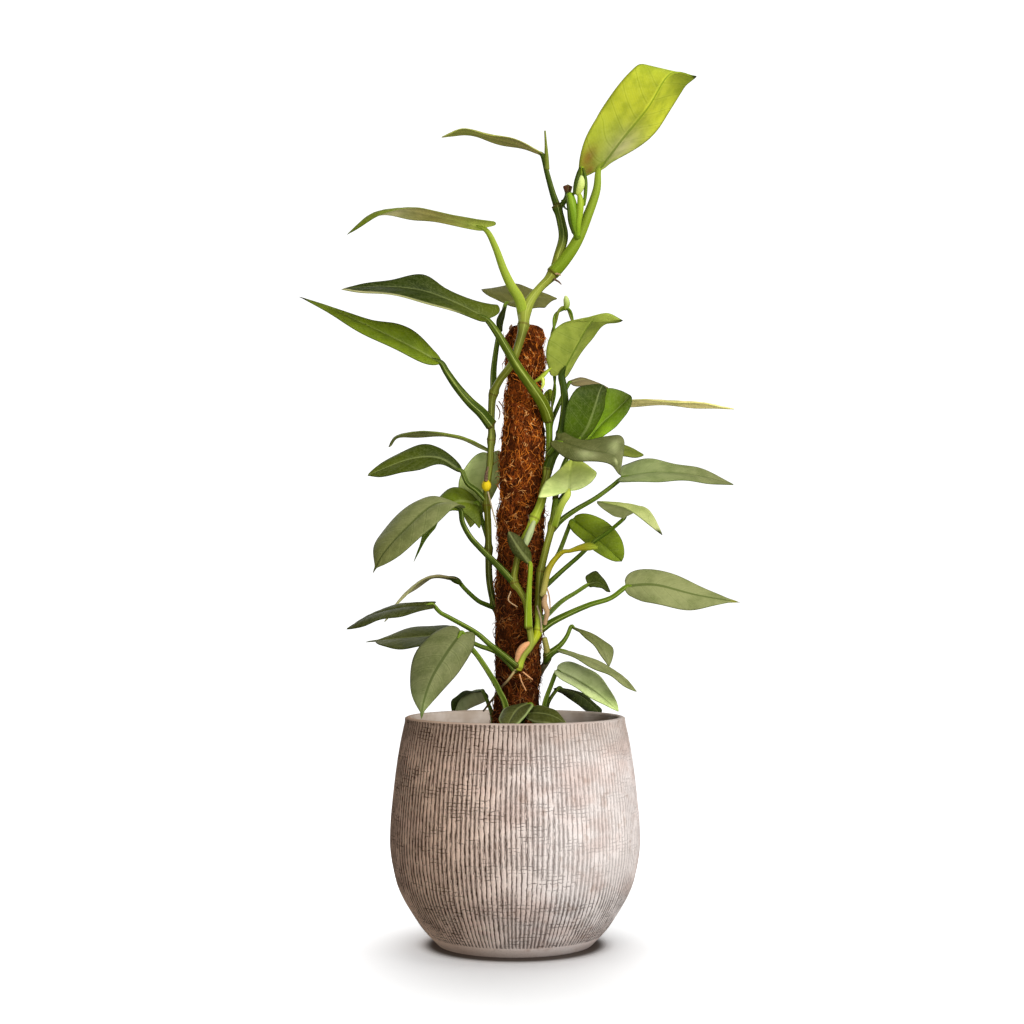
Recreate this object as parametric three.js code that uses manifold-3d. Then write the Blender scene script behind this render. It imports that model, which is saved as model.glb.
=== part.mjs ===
// Potted silver queen philodendron: a climbing plant on a coir pole, in a combed round pot.
// Millimetres, +Z up. The origin is the middle of the pot's flat foot, and the front faces -Y.
// Every place below is a real size. Leaves and stems are lists of points chosen by hand.
import * as THREE from "three";
import Module from "manifold-3d";

const wasm = await Module();
wasm.setup();

// Pot: thick-walled, with combed upright grooves between a smooth foot and a smooth lip.
const POT_BELLY_DIAMETER = 230;
const POT_HEIGHT = 207;
const POT_WALL = 7;
const POT_FOOT_DIAMETER = 142;
const POT_FLOOR = 10;
const GROOVE_COUNT = 51;
const GROOVE_DEPTH = 0.9;
const GROOVES_FROM_HEIGHT = 16;
const GROOVES_TO_HEIGHT = 202.5;
const INNER_SEGMENTS = 34;
// The outside as shares of the belly's radius at heights above the foot.
const POT_OUTSIDE = [
  [0.632, 1.5], [0.735, 14], [0.825, 29], [0.897, 43], [0.948, 57], [0.995, 84],
  [0.998, 106], [0.98, 132], [0.948, 163], [0.915, 186], [0.883, 203],
];

// Soil: fills the pot to a little under the rim.
const SOIL_LEVEL = 178;
const SOIL_GAP = 0.4;
const SOIL_BUMP = 1.5;

// Pole: a round stake with a coir sleeve, leaning a little to the right.
const POLE_FOOT_X = -3;
const POLE_LEAN = 0.0227;
const STAKE_RADIUS = 11;
const STAKE_FOOT = 24;
const STAKE_TOP = 540;
const COIR_FOOT = 150;
const COIR_TOP = 570;
const COIR_BORE = 11.4;
const COIR_HOLE_RADIUS = 22.5;
const COIR_SIDES = 20;
const COIR_STEP = 14;
const COIR_RELIEF = 0.45;
// The coir's radius at heights above the pot's foot: it is pinched in where it is tied.
const COIR_RADII = [
  [150, 19.5], [185, 20.5], [202, 22.5], [215, 22], [232, 20], [247, 21.5], [262, 20],
  [285, 21.5], [330, 22], [395, 21.5], [410, 19.8], [425, 21], [463, 20.5], [483, 18.8],
  [500, 18.4], [518, 15.4], [534, 18.4], [547, 16.8], [558, 18.8], [565, 16.8], [570, 11.4],
];

// Stems and stalks.
const STEM_SIDES = 6;
const STALK_SIDES = 5;
const STEM_STEP = 13;
const STALK_END_RADIUS = 0.9;
const STALK_TAPER = 1.6;
const CLEARANCE = 0.35;
const NODE_SWELLING = 1.1;
const NODE_LENGTH = 4;

// Leaf blades: a thin waved sheet with a raised rib under it.
const BLADE_THICKNESS = 0.8;
const RIB_HEIGHT = 1.3;
const ROW_LENGTH = 14;
const HALF_COLUMNS = 2;
const VEIN_SWEEP = 0.05;
const BLADE_CUP = 1.6;
const EDGE_WAVE = 1.2;
const WAVES_PER_LEAF = 2.2;
const PROFILE_AT = [0, 0.08, 0.25, 0.45, 0.65, 0.85, 1];

// Colours and finishes.
const FINISHES = {
  pot: { color: "#cdbfb1", roughness: 0.9, metalness: 0 },
  soil: { color: "#3b2a1e", roughness: 1, metalness: 0 },
  stake: { color: "#9a7a52", roughness: 0.8, metalness: 0 },
  coir: { color: "#7a4022", roughness: 1, metalness: 0 },
  stem: { color: "#6f8038", roughness: 0.55, metalness: 0 },
  leaf: { color: "#6a7a52", roughness: 0.5, metalness: 0 },
  young: { color: "#a9b648", roughness: 0.5, metalness: 0 },
  dry: { color: "#8a5a36", roughness: 0.9, metalness: 0 },
  yellow: { color: "#c9b52c", roughness: 0.6, metalness: 0 },
};

// Stems: points [x, y, z, radius] from the foot up.
const VINE_LEFT = [
  [-10, 28, 120, 3.2], [-10, 28, 200, 3.2], [-10, 28, 240, 3.2], [-11, 26.5, 276, 3.2],
  [-16, 22, 300, 3.2], [-21, 13, 316, 3.2], [-24, 4, 335, 3.2], [-24.5, -2, 360, 3.2],
  [-25, -5, 384, 3.2], [-26, -6, 402, 3.2], [-26, -7, 418, 3.2], [-23.5, -6, 439, 3.2],
  [-22, -5, 462, 3.2], [-22, -4, 486, 3.3], [-20.5, -6, 504, 3.6], [-14, -16, 517, 3.5],
  [-3, -26, 531, 3.6], [3.5, -27, 549, 3.9], [7.5, -25, 565, 4.4], [9, -15, 580, 6],
  [14, -10, 592, 5], [23, -8, 604, 3.9], [34.5, -6, 617, 4.4], [40, -4, 634, 4.4],
  [45, -3, 652, 4.6], [43, -3, 667, 4.2], [39, -3, 682, 3.9],
];
const VINE_LEFT_NODES = [309, 361, 402, 462, 506, 566, 617, 681];
const STUB = [[40, -3, 679, 3.2], [46, -4, 686, 3], [49, -4, 693, 3.2], [49.5, -4, 699, 4]];
const KNOB = [
  [-26.5, -9, 415, 2], [-26.5, -9.5, 418, 4.2], [-26.5, -9.5, 422, 4.2], [-26.5, -9, 425, 2],
];

const VINE_FRONT = [
  [2.5, -27, 251, 2.6], [8, -28, 264, 3], [14.5, -28, 274, 3], [13, -27, 291, 3],
  [10, -27, 312, 3.1], [3.5, -28, 324, 3.1], [-1, -28, 331, 3.4], [1, -28, 346, 3],
  [5.5, -27, 364, 3.2], [13.5, -26, 380, 3.4], [18, -25, 390, 4], [24, -22, 404, 4],
  [26.5, -19, 417, 3.8], [30, -15, 434, 3.6], [31.5, -12, 457, 3.1], [31.5, -10, 480, 3.4],
  [32.5, -9, 488, 3],
];
const VINE_FRONT_NODES = [253, 330, 389, 434, 480];
const VINE_FRONT_BRANCH = [
  [14, -28, 272, 3], [21, -25, 286, 3.4], [21, -25, 309, 3.2], [23, -23, 337, 3.4],
  [28.5, -20, 362, 3.3], [34, -18, 383, 3.3], [37.5, -14, 407, 2.8],
];
const VINE_FRONT_BRANCH_NODES = [287, 340, 383];
const AERIAL_ROOT = [
  [2, -27, 253, 1.2], [-6, -26.5, 242, 1.1], [-13, -24.5, 234, 1.1], [-19, -24, 226, 1],
  [-29, -22, 213, 0.9],
];

const VINE_LOW = [
  [12, 28, 120, 3], [12, 28, 200, 3], [13, 27, 226, 3], [21, 21, 243, 3], [29, 4, 257, 3],
  [29.5, -8, 267, 3], [27, -15, 279, 2.6],
];
const VINE_LOW_NODES = [262];

// New growth and dying sheaths: points [x, y, z, radius].
const SHOOT_TIP = [
  [58.5, -10, 650, 3.2], [57.5, -15, 671, 4.4], [57.9, -16, 687, 5.4], [59.3, -16, 700, 5.8],
  [61.2, -16, 709, 3.6], [62.1, -16, 715, 1.8],
];
const SHOOT_CURLED = [
  [33, -8, 484, 1.8], [35, -1, 498, 2], [37, 0, 514, 2.1], [36, 1, 537, 2.2], [35, 1, 556, 2.3],
  [36.5, 1, 570, 2.4], [39, 1, 581, 2.4], [45, 1, 586.5, 2.2], [50.5, 1, 584.5, 2.1],
  [54, 1, 573.5, 1.7],
];
const SHOOT_CURLED_BUD = [[47, 1, 585, 1.8], [48, 1, 591, 2.8], [48, 1, 596, 1.6]];
const SHEATH_BROWN = [
  [27, -31, 292, 1.6], [29, -34, 303, 2.4], [26.5, -35, 312, 2.6], [28, -36, 319, 1.4],
];
const BRACT_YELLOW = [
  [25, -30, 318, 2.6], [31, -31, 343, 2.6], [42, -31, 357, 2.2], [59, -31, 362, 2.4],
  [66, -31, 362, 3.2], [75, -31, 362, 1.2],
];

// Leaves. stalk: points from the stem to the blade, with the radius at each end. taper bends
// the change of radius: below 1 the stalk stays thick for longer. rib: points along the
// midrib from the stalk to the tip. Each half reaches from the midrib to its edge by a vector
// at its widest place, a share of the length. shape is one number for a plain outline, where
// less is rounder at the base, or five width shares from base to tip. lobe is how far the half
// swings back past the stalk. tail is the drip tip's share of the length, and twist turns the
// blade by that many degrees from base to tip.
const LEAVES = {
  leaf_crown: {
    finish: "young",
    stalk: [[35, -6, 618], [47, -6, 632], [58, -6, 649], [68, -6, 673], [76, -7, 696], [78, -8, 715]],
    stalkRadius: [6.4, 2.6],
    taper: 0.7,
    rib: [[78, -8, 715], [99, -26, 739], [122, -40, 765], [143, -44, 789], [167, -36, 794]],
    left: { reach: [11, 32, -11], widest: 0.5, shape: 1.05, lobe: 0 },
    right: { reach: [-37, 16, 12], widest: 0.46, shape: [0.34, 0.82, 0.98, 0.88, 0.84], lobe: 0.18 },
  },
  leaf_dry: {
    finish: "dry",
    stalk: [[39, -3, 683], [35, -3, 695], [30, -4, 713], [26, -5, 729]],
    stalkRadius: [3.6, 2.4],
    rib: [[26, -5, 730], [3, -10, 738], [-23, -16, 743], [-49, -22, 747], [-68, -26, 741]],
    left: { reach: [3, -11, 0], widest: 0.42, shape: 0.5, lobe: 0 },
    right: { reach: [-1, 13, 0], widest: 0.42, shape: 0.5, lobe: 0 },
  },
  leaf_left_1: {
    stalk: [
      [8, -14, 575], [4, -20, 591], [-4, -24, 604], [-11, -26, 619], [-18, -28, 638], [-26, -30, 653],
    ],
    stalkRadius: [5.4, 2.4],
    taper: 0.9,
    rib: [[-27, -30, 656], [-64, -40, 663], [-100, -50, 668], [-129, -56, 664], [-152, -58, 644]],
    left: { reach: [10, -13, -1], widest: 0.4, shape: [0.6, 0.8, 0.9, 0.7, 0.6], lobe: 0.1 },
    right: { reach: [8, 16, -5], widest: 0.45, shape: [0.42, 0.72, 1.05, 0.6, 0.45], lobe: 0.02 },
    twist: -45,
  },
  leaf_left_2: {
    stalk: [
      [31, -10, 481], [26, -20, 493], [16, -29, 508], [4, -35, 524], [-7, -37, 542],
      [-16, -38, 557], [-25, -39, 569],
    ],
    stalkRadius: [5.6, 2.8],
    taper: 0.7,
    rib: [[-25, -39, 570], [-55, -46, 584], [-86, -54, 594], [-122, -62, 596], [-156, -66, 593]],
    left: { reach: [-1, -24, -13], widest: 0.4, shape: 0.6, lobe: 0.03 },
    right: { reach: [2, 13, 17], widest: 0.42, shape: [0.8, 0.6, 0.92, 0.42, 0.2], lobe: 0.17 },
  },
  leaf_left_3: {
    stalk: [
      [-22, -5, 476], [-31, -10, 487], [-42, -14, 497], [-54, -18, 511], [-63, -22, 524],
      [-68, -24, 532],
    ],
    stalkRadius: [5.4, 2.7],
    taper: 1,
    rib: [[-69, -24, 532], [-96, -32, 546], [-132, -40, 563], [-166, -46, 578], [-196, -50, 589]],
    left: { reach: [7, -10, -15], widest: 0.32, shape: 0.5, lobe: 0.02 },
    right: { reach: [-1, 9, 20], widest: 0.2, shape: [0.62, 0.86, 0.35, 0.14, 0.05], lobe: 0.07 },
  },
  leaf_back: {
    stalk: [[-20, -3, 509], [-20, 6, 529], [-17, 14, 554], [-13, 20, 576], [-9, 26, 594]],
    stalkRadius: [3.4, 2],
    rib: [[-9, 27, 595], [15, 62, 607], [42, 95, 611]],
    left: { reach: [-19, 29, 19], widest: 0.3, shape: 0.5, lobe: 0.35 },
    right: { reach: [12, -28, -15], widest: 0.45, shape: 0.8, lobe: 0 },
  },
  leaf_right_1: {
    stalk: [
      [30, -15, 434], [34, -15, 445], [40, -15, 459], [44, -14, 476], [46, -14, 494],
      [45, -14, 510], [43, -14, 522],
    ],
    stalkRadius: [4.6, 3.2],
    taper: 1,
    rib: [[43, -14, 523], [57, -32, 545], [69, -48, 562], [82, -58, 568], [97, -64, 563]],
    left: { reach: [1, 34, -11], widest: 0.36, shape: 0.5, lobe: 0.02 },
    right: { reach: [-34, 22, -8], widest: 0.42, shape: [0.4, 0.85, 1, 0.95, 0.7], lobe: 0.05 },
  },
  leaf_right_2: {
    stalk: [[33, -8, 478], [39, 3, 492], [46, 9, 508], [51, 14, 518]],
    stalkRadius: [2.2, 1.8],
    rib: [[51, 14, 518], [67, 30, 522], [89, 52, 518]],
    left: { reach: [-3, 12, 3], widest: 0.4, shape: 0.5, lobe: 0.05 },
    right: { reach: [8, -8, -6], widest: 0.4, shape: 0.5, lobe: 0.05 },
  },
  leaf_right_3: {
    stalk: [[32, -10, 438], [37, -6, 448], [43, -4, 456], [50, -3, 460], [58, -3, 462]],
    stalkRadius: [2.8, 2.2],
    rib: [[58, -3, 462], [67, -8, 475], [74, -10, 494], [78, -6, 507], [82, 4, 515]],
    left: { reach: [-25, -17, 2], widest: 0.45, shape: 0.5, lobe: 0.04 },
    right: { reach: [8, 9, -2], widest: 0.45, shape: 0.5, lobe: 0.04 },
  },
  leaf_right_4: {
    stalk: [[31, -10, 452], [36, 4, 453], [46, 14, 456], [58, 18, 460], [69, 18, 465]],
    stalkRadius: [2.6, 2.2],
    rib: [[69, 18, 465], [81, 14, 479], [94, 12, 491], [109, 14, 506]],
    left: { reach: [-9, -6, 19], widest: 0.45, shape: [0.5, 0.85, 1.1, 1.05, 0.55], lobe: 0.04 },
    right: { reach: [8, -7, -8], widest: 0.45, shape: 0.5, lobe: 0.04 },
  },
  leaf_right_5: {
    stalk: [[37, -13, 407], [40, 8, 422], [47, 32, 444], [64, 42, 476], [85, 32, 498]],
    stalkRadius: [2.8, 2],
    rib: [[86, 33, 499], [128, 30, 501], [174, 22, 499], [206, 12, 493]],
    left: { reach: [-15, 20, -1], widest: 0.4, shape: 0.5, lobe: 0.03 },
    right: { reach: [-15, -16, 0], widest: 0.4, shape: 0.5, lobe: 0.03 },
  },
  leaf_right_6: {
    stalk: [[30, -18, 448], [34, -22, 453], [38, -25, 458]],
    stalkRadius: [2.8, 2.4],
    rib: [[39, -24, 461], [62, -42, 451], [89, -61, 443], [93, -76, 425]],
    left: { reach: [7, 24, 21], widest: 0.55, shape: [0.5, 0.35, 0.78, 0.95, 0.8], lobe: 0.12 },
    right: { reach: [-10, -7, -10], widest: 0.42, shape: [0.6, 1, 0.95, 0.6, 0.3], lobe: 0.1 },
  },
  leaf_right_7: {
    stalk: [[37, -13, 402], [45, 0, 411], [53, 16, 428], [58, 25, 444], [59, 31, 456]],
    stalkRadius: [2.4, 2],
    rib: [[59, 31, 457], [92, 24, 459], [121, 14, 450]],
    left: { reach: [-3, 17, 7], widest: 0.4, shape: 0.5, lobe: 0.04 },
    right: { reach: [-2, -15, -10], widest: 0.4, shape: 0.5, lobe: 0.04 },
  },
  leaf_right_8: {
    stalk: [[36, -19, 382], [39, -27, 392], [43, -34, 402], [48, -37, 410]],
    stalkRadius: [3.4, 3],
    rib: [[49, -36, 413], [51, -18, 430], [54, -2, 447]],
    left: { reach: [-39, -6, -4], widest: 0.15, shape: [0.72, 0.63, 0.42, 0.26, 0.12], lobe: 0.2 },
    right: { reach: [24, -6, 0], widest: 0.4, shape: [0.5, 0.85, 1, 0.72, 0.33], lobe: 0 },
  },
  leaf_right_9: {
    stalk: [[34, -17, 378], [43, -12, 388], [57, -10, 398], [74, -8, 408], [89, -4, 419], [99, 0, 427]],
    stalkRadius: [2.8, 2],
    rib: [[99, 0, 428], [130, -6, 432], [166, -14, 429], [201, -20, 420]],
    left: { reach: [-1, 20, 14], widest: 0.2, shape: [0.9, 1, 0.75, 0.62, 0.35], lobe: 0.06 },
    right: { reach: [-5, -23, -9], widest: 0.32, shape: 0.42, lobe: 0.06 },
  },
  leaf_right_10: {
    stalk: [
      [24, -24, 324], [31, -22, 330], [43, -20, 341], [58, -18, 354], [73, -16, 368],
      [87, -14, 378], [100, -12, 389],
    ],
    stalkRadius: [2.8, 1.8],
    rib: [[100, -12, 390], [107, -45, 395], [118, -75, 388], [129, -95, 369]],
    left: { reach: [4, 28, -1], widest: 0.38, shape: 0.6, lobe: 0.03 },
    right: { reach: [-35, -4, 4], widest: 0.38, shape: 0.6, lobe: 0.03 },
  },
  leaf_right_11: {
    stalk: [[25, -20, 338], [31, -13, 344], [39, -6, 355], [44, 0, 366], [49, 3, 379], [53, 4, 388]],
    stalkRadius: [2.6, 2],
    rib: [[53, 4, 389], [67, 0, 378], [83, -2, 365], [99, 2, 350]],
    left: { reach: [11, -4, 14], widest: 0.48, shape: 0.5, lobe: 0.02 },
    right: { reach: [-14, -4, -2], widest: 0.55, shape: 0.5, lobe: 0 },
  },
  leaf_right_12: {
    stalk: [[23, -20, 294], [31, -14, 302], [43, -8, 313], [56, -2, 321], [67, 4, 328]],
    stalkRadius: [3, 1.8],
    rib: [[68, 4, 328], [78, 18, 330], [90, 32, 322]],
    left: { reach: [1, 7, 9], widest: 0.36, shape: 0.45, lobe: 0.35 },
    right: { reach: [0, -11, -7], widest: 0.42, shape: 0.45, lobe: 0 },
  },
  leaf_right_13: {
    stalk: [
      [24, -22, 287], [34, -18, 294], [50, -15, 302], [69, -12, 310], [88, -9, 316], [102, -6, 326],
    ],
    stalkRadius: [3.4, 2.2],
    rib: [[102, -6, 327], [129, -14, 328], [165, -22, 319], [205, -28, 312]],
    left: { reach: [0, 14, 15], widest: 0.3, shape: 0.45, lobe: 0.03 },
    right: { reach: [-3, -5, -17], widest: 0.4, shape: [0.75, 0.92, 1, 0.74, 0.36], lobe: 0.02 },
  },
  leaf_right_14: {
    stalk: [[28, -9, 262], [33, -8, 266], [42, -6, 273], [48, -4, 281], [52, -2, 290]],
    stalkRadius: [3.4, 1.8],
    rib: [[52, -2, 290], [67, -8, 281], [79, -14, 269], [86, -17, 253]],
    left: { reach: [10, 13, 2], widest: 0.65, shape: 0.9, lobe: 0 },
    right: { reach: [-5, -9, 0], widest: 0.5, shape: 0.9, lobe: 0 },
  },
  leaf_right_15: {
    stalk: [[28, -6, 257], [30, -12, 260], [36, -14, 266], [42, -14, 268]],
    stalkRadius: [2.6, 1.8],
    rib: [[42, -14, 268], [68, -32, 258], [93, -44, 246], [109, -48, 232]],
    left: { reach: [-2, 17, 4], widest: 0.45, shape: 0.5, lobe: 0.03 },
    right: { reach: [-12, -11, 2], widest: 0.45, shape: 0.5, lobe: 0.03 },
  },
  leaf_right_16: {
    stalk: [[26, -15, 165], [26, -15, 203], [27, -15, 219], [33, -14, 236], [38, -14, 248]],
    stalkRadius: [2.8, 2],
    rib: [[38, -14, 250], [57, -26, 241], [77, -36, 228], [93, -42, 214]],
    left: { reach: [1, 19, 16], widest: 0.5, shape: 0.5, lobe: 0 },
    right: { reach: [-10, -6, -2], widest: 0.4, shape: 0.6, lobe: 0.02 },
  },
  leaf_right_17: {
    stalk: [[29, 6, 165], [29, 6, 201], [30, 8, 216], [34, 14, 224], [41, 22, 232]],
    stalkRadius: [2.2, 1.7],
    rib: [[41, 22, 232], [60, 62, 224], [77, 98, 210], [84, 116, 200]],
    left: { reach: [6, 15, -1], widest: 0.45, shape: 0.5, lobe: 0.03 },
    right: { reach: [-15, -25, 1], widest: 0.45, shape: 0.5, lobe: 0.03 },
  },
  leaf_left_4: {
    stalk: [[-22, -5, 440], [-22, 4, 448], [-25, 9, 454]],
    stalkRadius: [2.4, 1.8],
    rib: [[-25, 9, 454], [-52, 14, 466], [-85, 18, 470], [-110, 20, 468], [-119, 21, 458]],
    left: { reach: [2, -14, 0], widest: 0.42, shape: 0.5, lobe: 0.03 },
    right: { reach: [1, 13, -1], widest: 0.42, shape: 0.5, lobe: 0.03 },
  },
  leaf_left_5: {
    stalk: [[-25, -6, 404], [-35, -8, 415], [-44, -8, 422], [-49, -8, 433]],
    stalkRadius: [2.6, 2.2],
    rib: [[-50, -8, 433], [-71, -14, 445], [-98, -20, 443], [-135, -26, 428]],
    left: { reach: [-4, -16, -15], widest: 0.5, shape: [0.16, 0.34, 0.8, 0.86, 0.5], lobe: 0.02 },
    right: { reach: [0, 10, 12], widest: 0.46, shape: 0.6, lobe: 0.05 },
  },
  leaf_left_6: {
    stalk: [[-21, -4, 472], [-20, 10, 467], [-22, 20, 459], [-24, 25, 451]],
    stalkRadius: [2.4, 2],
    rib: [[-24, 25, 451], [-31, 28, 418], [-42, 22, 382]],
    left: { reach: [17, 6, 9], widest: 0.38, shape: 0.5, lobe: 0.06 },
    right: { reach: [-21, -12, 9], widest: 0.45, shape: 0.8, lobe: 0.06 },
  },
  leaf_left_7: {
    stalk: [
      [-1, -28, 330], [-12, -29, 342], [-23, -27, 353], [-32, -25, 362], [-41, -24, 372],
      [-48, -23, 385], [-50, -22, 397],
    ],
    stalkRadius: [3.6, 2.4],
    rib: [[-50, -22, 399], [-72, -40, 401], [-97, -58, 379], [-117, -66, 356], [-127, -66, 338]],
    left: { reach: [20, -8, -3], widest: 0.46, shape: 0.7, lobe: 0.03 },
    right: { reach: [-9, 20, 13], widest: 0.42, shape: [0.45, 0.62, 0.95, 1.02, 0.72], lobe: 0.03 },
    tail: 0.08,
  },
  leaf_left_8: {
    stalk: [[-23, -1, 359], [-26, 1, 373], [-31, 3, 389], [-34, 4, 404]],
    stalkRadius: [2.6, 2],
    rib: [[-34, 4, 404], [-56, -4, 404], [-79, -8, 379], [-94, -6, 349]],
    left: { reach: [2, -12, -24], widest: 0.12, shape: [1, 0.5, 0.12, 0.15, 0.1], lobe: 0.08 },
    right: { reach: [-7, 12, 14], widest: 0.3, shape: 0.6, lobe: 0.03 },
    tail: 0.12,
  },
  leaf_left_9: {
    stalk: [[-19, 16, 307], [-27, 13, 310], [-35, 9, 314], [-46, 8, 324], [-54, 8, 333]],
    stalkRadius: [2.6, 2],
    rib: [[-54, 8, 333], [-77, -2, 335], [-101, -10, 320], [-120, -16, 294]],
    left: { reach: [3, -13, 1], widest: 0.4, shape: 0.5, lobe: 0.03 },
    right: { reach: [1, 17, -1], widest: 0.4, shape: 0.5, lobe: 0.03 },
  },
  leaf_left_10: {
    stalk: [
      [2, -30, 254], [-9, -31, 263], [-23, -30, 274], [-36, -29, 285], [-59, -30, 298],
      [-68, -31, 303], [-75, -31, 310],
    ],
    stalkRadius: [3.2, 1.9],
    rib: [[-75, -31, 310], [-104, -40, 307], [-131, -45, 300], [-152, -46, 288]],
    left: { reach: [10, -16, -5], widest: 0.4, shape: 0.5, lobe: 0.03 },
    right: { reach: [10, 17, 5], widest: 0.4, shape: 0.5, lobe: 0.03 },
  },
  leaf_left_11: {
    stalk: [[1, -25, 249], [-7, -22, 258], [-18, -18, 267], [-32, -15, 272], [-43, -14, 277]],
    stalkRadius: [3, 2],
    rib: [[-43, -14, 279], [-69, -6, 281], [-102, 6, 279], [-140, 18, 275]],
    left: { reach: [-12, -18, -10], widest: 0.5, shape: 0.8, lobe: 0 },
    right: { reach: [0, 18, 10], widest: 0.4, shape: 0.7, lobe: 0 },
    tail: 0.1,
  },
  leaf_left_12: {
    stalk: [
      [-8, -31, 165], [-8, -30, 213], [-15, -32, 233], [-24, -36, 249], [-34, -39, 264],
      [-43, -40, 275], [-48, -41, 285],
    ],
    stalkRadius: [3.2, 2.2],
    rib: [[-48, -41, 285], [-61, -60, 267], [-74, -70, 245], [-81, -74, 224], [-83, -74, 209]],
    left: { reach: [23, 15, 3], widest: 0.34, shape: [0.85, 1.05, 0.96, 0.62, 0.25], lobe: 0.07 },
    right: { reach: [-19, 18, 14], widest: 0.4, shape: 0.6, lobe: 0.06 },
    tail: 0.1,
  },
  leaf_left_13: {
    stalk: [[-21, 16, 165], [-21, 17, 203], [-25, 23, 217], [-30, 33, 228]],
    stalkRadius: [2.4, 1.8],
    rib: [[-30, 34, 229], [-41, 74, 226], [-54, 106, 217], [-61, 124, 200]],
    left: { reach: [10, -7, -11], widest: 0.4, shape: 0.5, lobe: 0.05 },
    right: { reach: [-9, -1, -1], widest: 0.4, shape: 0.6, lobe: 0.05 },
  },
  leaf_front_1: {
    finish: "young",
    stalk: [[12, -30, 289], [12, -33, 310], [13, -35, 328], [14, -36, 346]],
    stalkRadius: [3.8, 2],
    rib: [[14, -36, 347], [4, -41, 360], [-6, -46, 376]],
    left: { reach: [-7, 3, -1], widest: 0.42, shape: 0.6, lobe: 0 },
    right: { reach: [5, 7, 6], widest: 0.42, shape: 0.6, lobe: 0 },
  },
  leaf_front_2: {
    stalk: [[17, -28, 165], [17, -29, 205], [15, -34, 219]],
    stalkRadius: [2.4, 2],
    rib: [[13, -36, 221], [3, -50, 217], [-3, -62, 210], [-7, -72, 202]],
    left: { reach: [9, -6, -4], widest: 0.45, shape: 0.6, lobe: 0.04 },
    right: { reach: [-11, 9, 1], widest: 0.55, shape: 0.6, lobe: 0 },
  },
  leaf_front_3: {
    stalk: [[5, -32, 165], [6, -33, 200], [9, -40, 210]],
    stalkRadius: [2.4, 2],
    rib: [[11, -42, 212], [22, -55, 213], [34, -64, 211], [45, -70, 205]],
    left: { reach: [0, 16, 6], widest: 0.42, shape: 0.5, lobe: 0.03 },
    right: { reach: [-5, -16, -7], widest: 0.42, shape: 0.5, lobe: 0.03 },
  },
  leaf_scrap: {
    stalk: [[32, -9, 485], [31, -2, 492], [32, 4, 498]],
    stalkRadius: [1.6, 1.3],
    rib: [[32, 4, 498], [31, 7, 504], [30, 10, 510]],
    left: { reach: [-4, -2, -2], widest: 0.45, shape: 0.5, lobe: 0 },
    right: { reach: [4, 2, 5], widest: 0.45, shape: 0.5, lobe: 0 },
  },
};

function vectors(points) {
  return points.map((p) => new THREE.Vector3(p[0], p[1], p[2]));
}

function smoothCurve(points) {
  return new THREE.CatmullRomCurve3(vectors(points), false, "catmullrom", 0.5);
}

function mix(a, b, t) {
  return a + (b - a) * t;
}

// A value between the places of a list of [place, value] pairs, eased from one to the next.
function between(place, pairs) {
  if (place <= pairs[0][0]) return pairs[0][1];
  for (let i = 1; i < pairs.length; i += 1) {
    if (place <= pairs[i][0]) {
      const t = (place - pairs[i - 1][0]) / (pairs[i][0] - pairs[i - 1][0]);
      return mix(pairs[i - 1][1], pairs[i][1], t * t * (3 - 2 * t));
    }
  }
  return pairs[pairs.length - 1][1];
}

// Solids: a closed list of points and triangles, and back.
function solidOf(points, triangles) {
  const vertProperties = new Float32Array(points.length * 3);
  points.forEach((p, i) => vertProperties.set([p.x, p.y, p.z], i * 3));
  const triVerts = new Uint32Array(triangles.flat());
  return new wasm.Manifold(new wasm.Mesh({ numProp: 3, vertProperties, triVerts }));
}

function geometryOf(solid) {
  const mesh = solid.getMesh();
  const geometry = new THREE.BufferGeometry();
  const positions = new Float32Array(mesh.vertProperties);
  geometry.setAttribute("position", new THREE.BufferAttribute(positions, 3));
  geometry.setIndex(new THREE.BufferAttribute(new Uint32Array(mesh.triVerts), 1));
  geometry.computeVertexNormals();
  return geometry;
}

function clearOf(solid, cutters) {
  return cutters.reduce((rest, cutter) => rest.subtract(cutter), solid);
}

// Cutting can leave a loose scrap: only the biggest piece is kept.
function biggestPiece(solid) {
  const pieces = solid.decompose();
  return pieces.reduce((best, piece) => (piece.volume() > best.volume() ? piece : best));
}

// Rings of points joined into one closed solid. Each ring runs the same way round, seen from
// the end of the list, and one ring may hold a whole number of times the points of the next.
function solidOfRings(rings) {
  const points = [];
  const starts = rings.map((ring) => {
    const start = points.length;
    points.push(...ring);
    return start;
  });
  const triangles = [];
  for (let r = 0; r + 1 < rings.length; r += 1) {
    const [near, far] = [rings[r].length, rings[r + 1].length];
    const steps = Math.max(near, far);
    for (let i = 0; i < steps; i += 1) {
      const a = starts[r] + Math.floor((i * near) / steps) % near;
      const b = starts[r] + Math.floor(((i + 1) * near) / steps) % near;
      const c = starts[r + 1] + Math.floor((i * far) / steps) % far;
      const d = starts[r + 1] + Math.floor(((i + 1) * far) / steps) % far;
      if (a !== b) triangles.push([a, b, d]);
      if (c !== d) triangles.push([a, d, c]);
    }
  }
  return solidOf(points, triangles);
}

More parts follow.
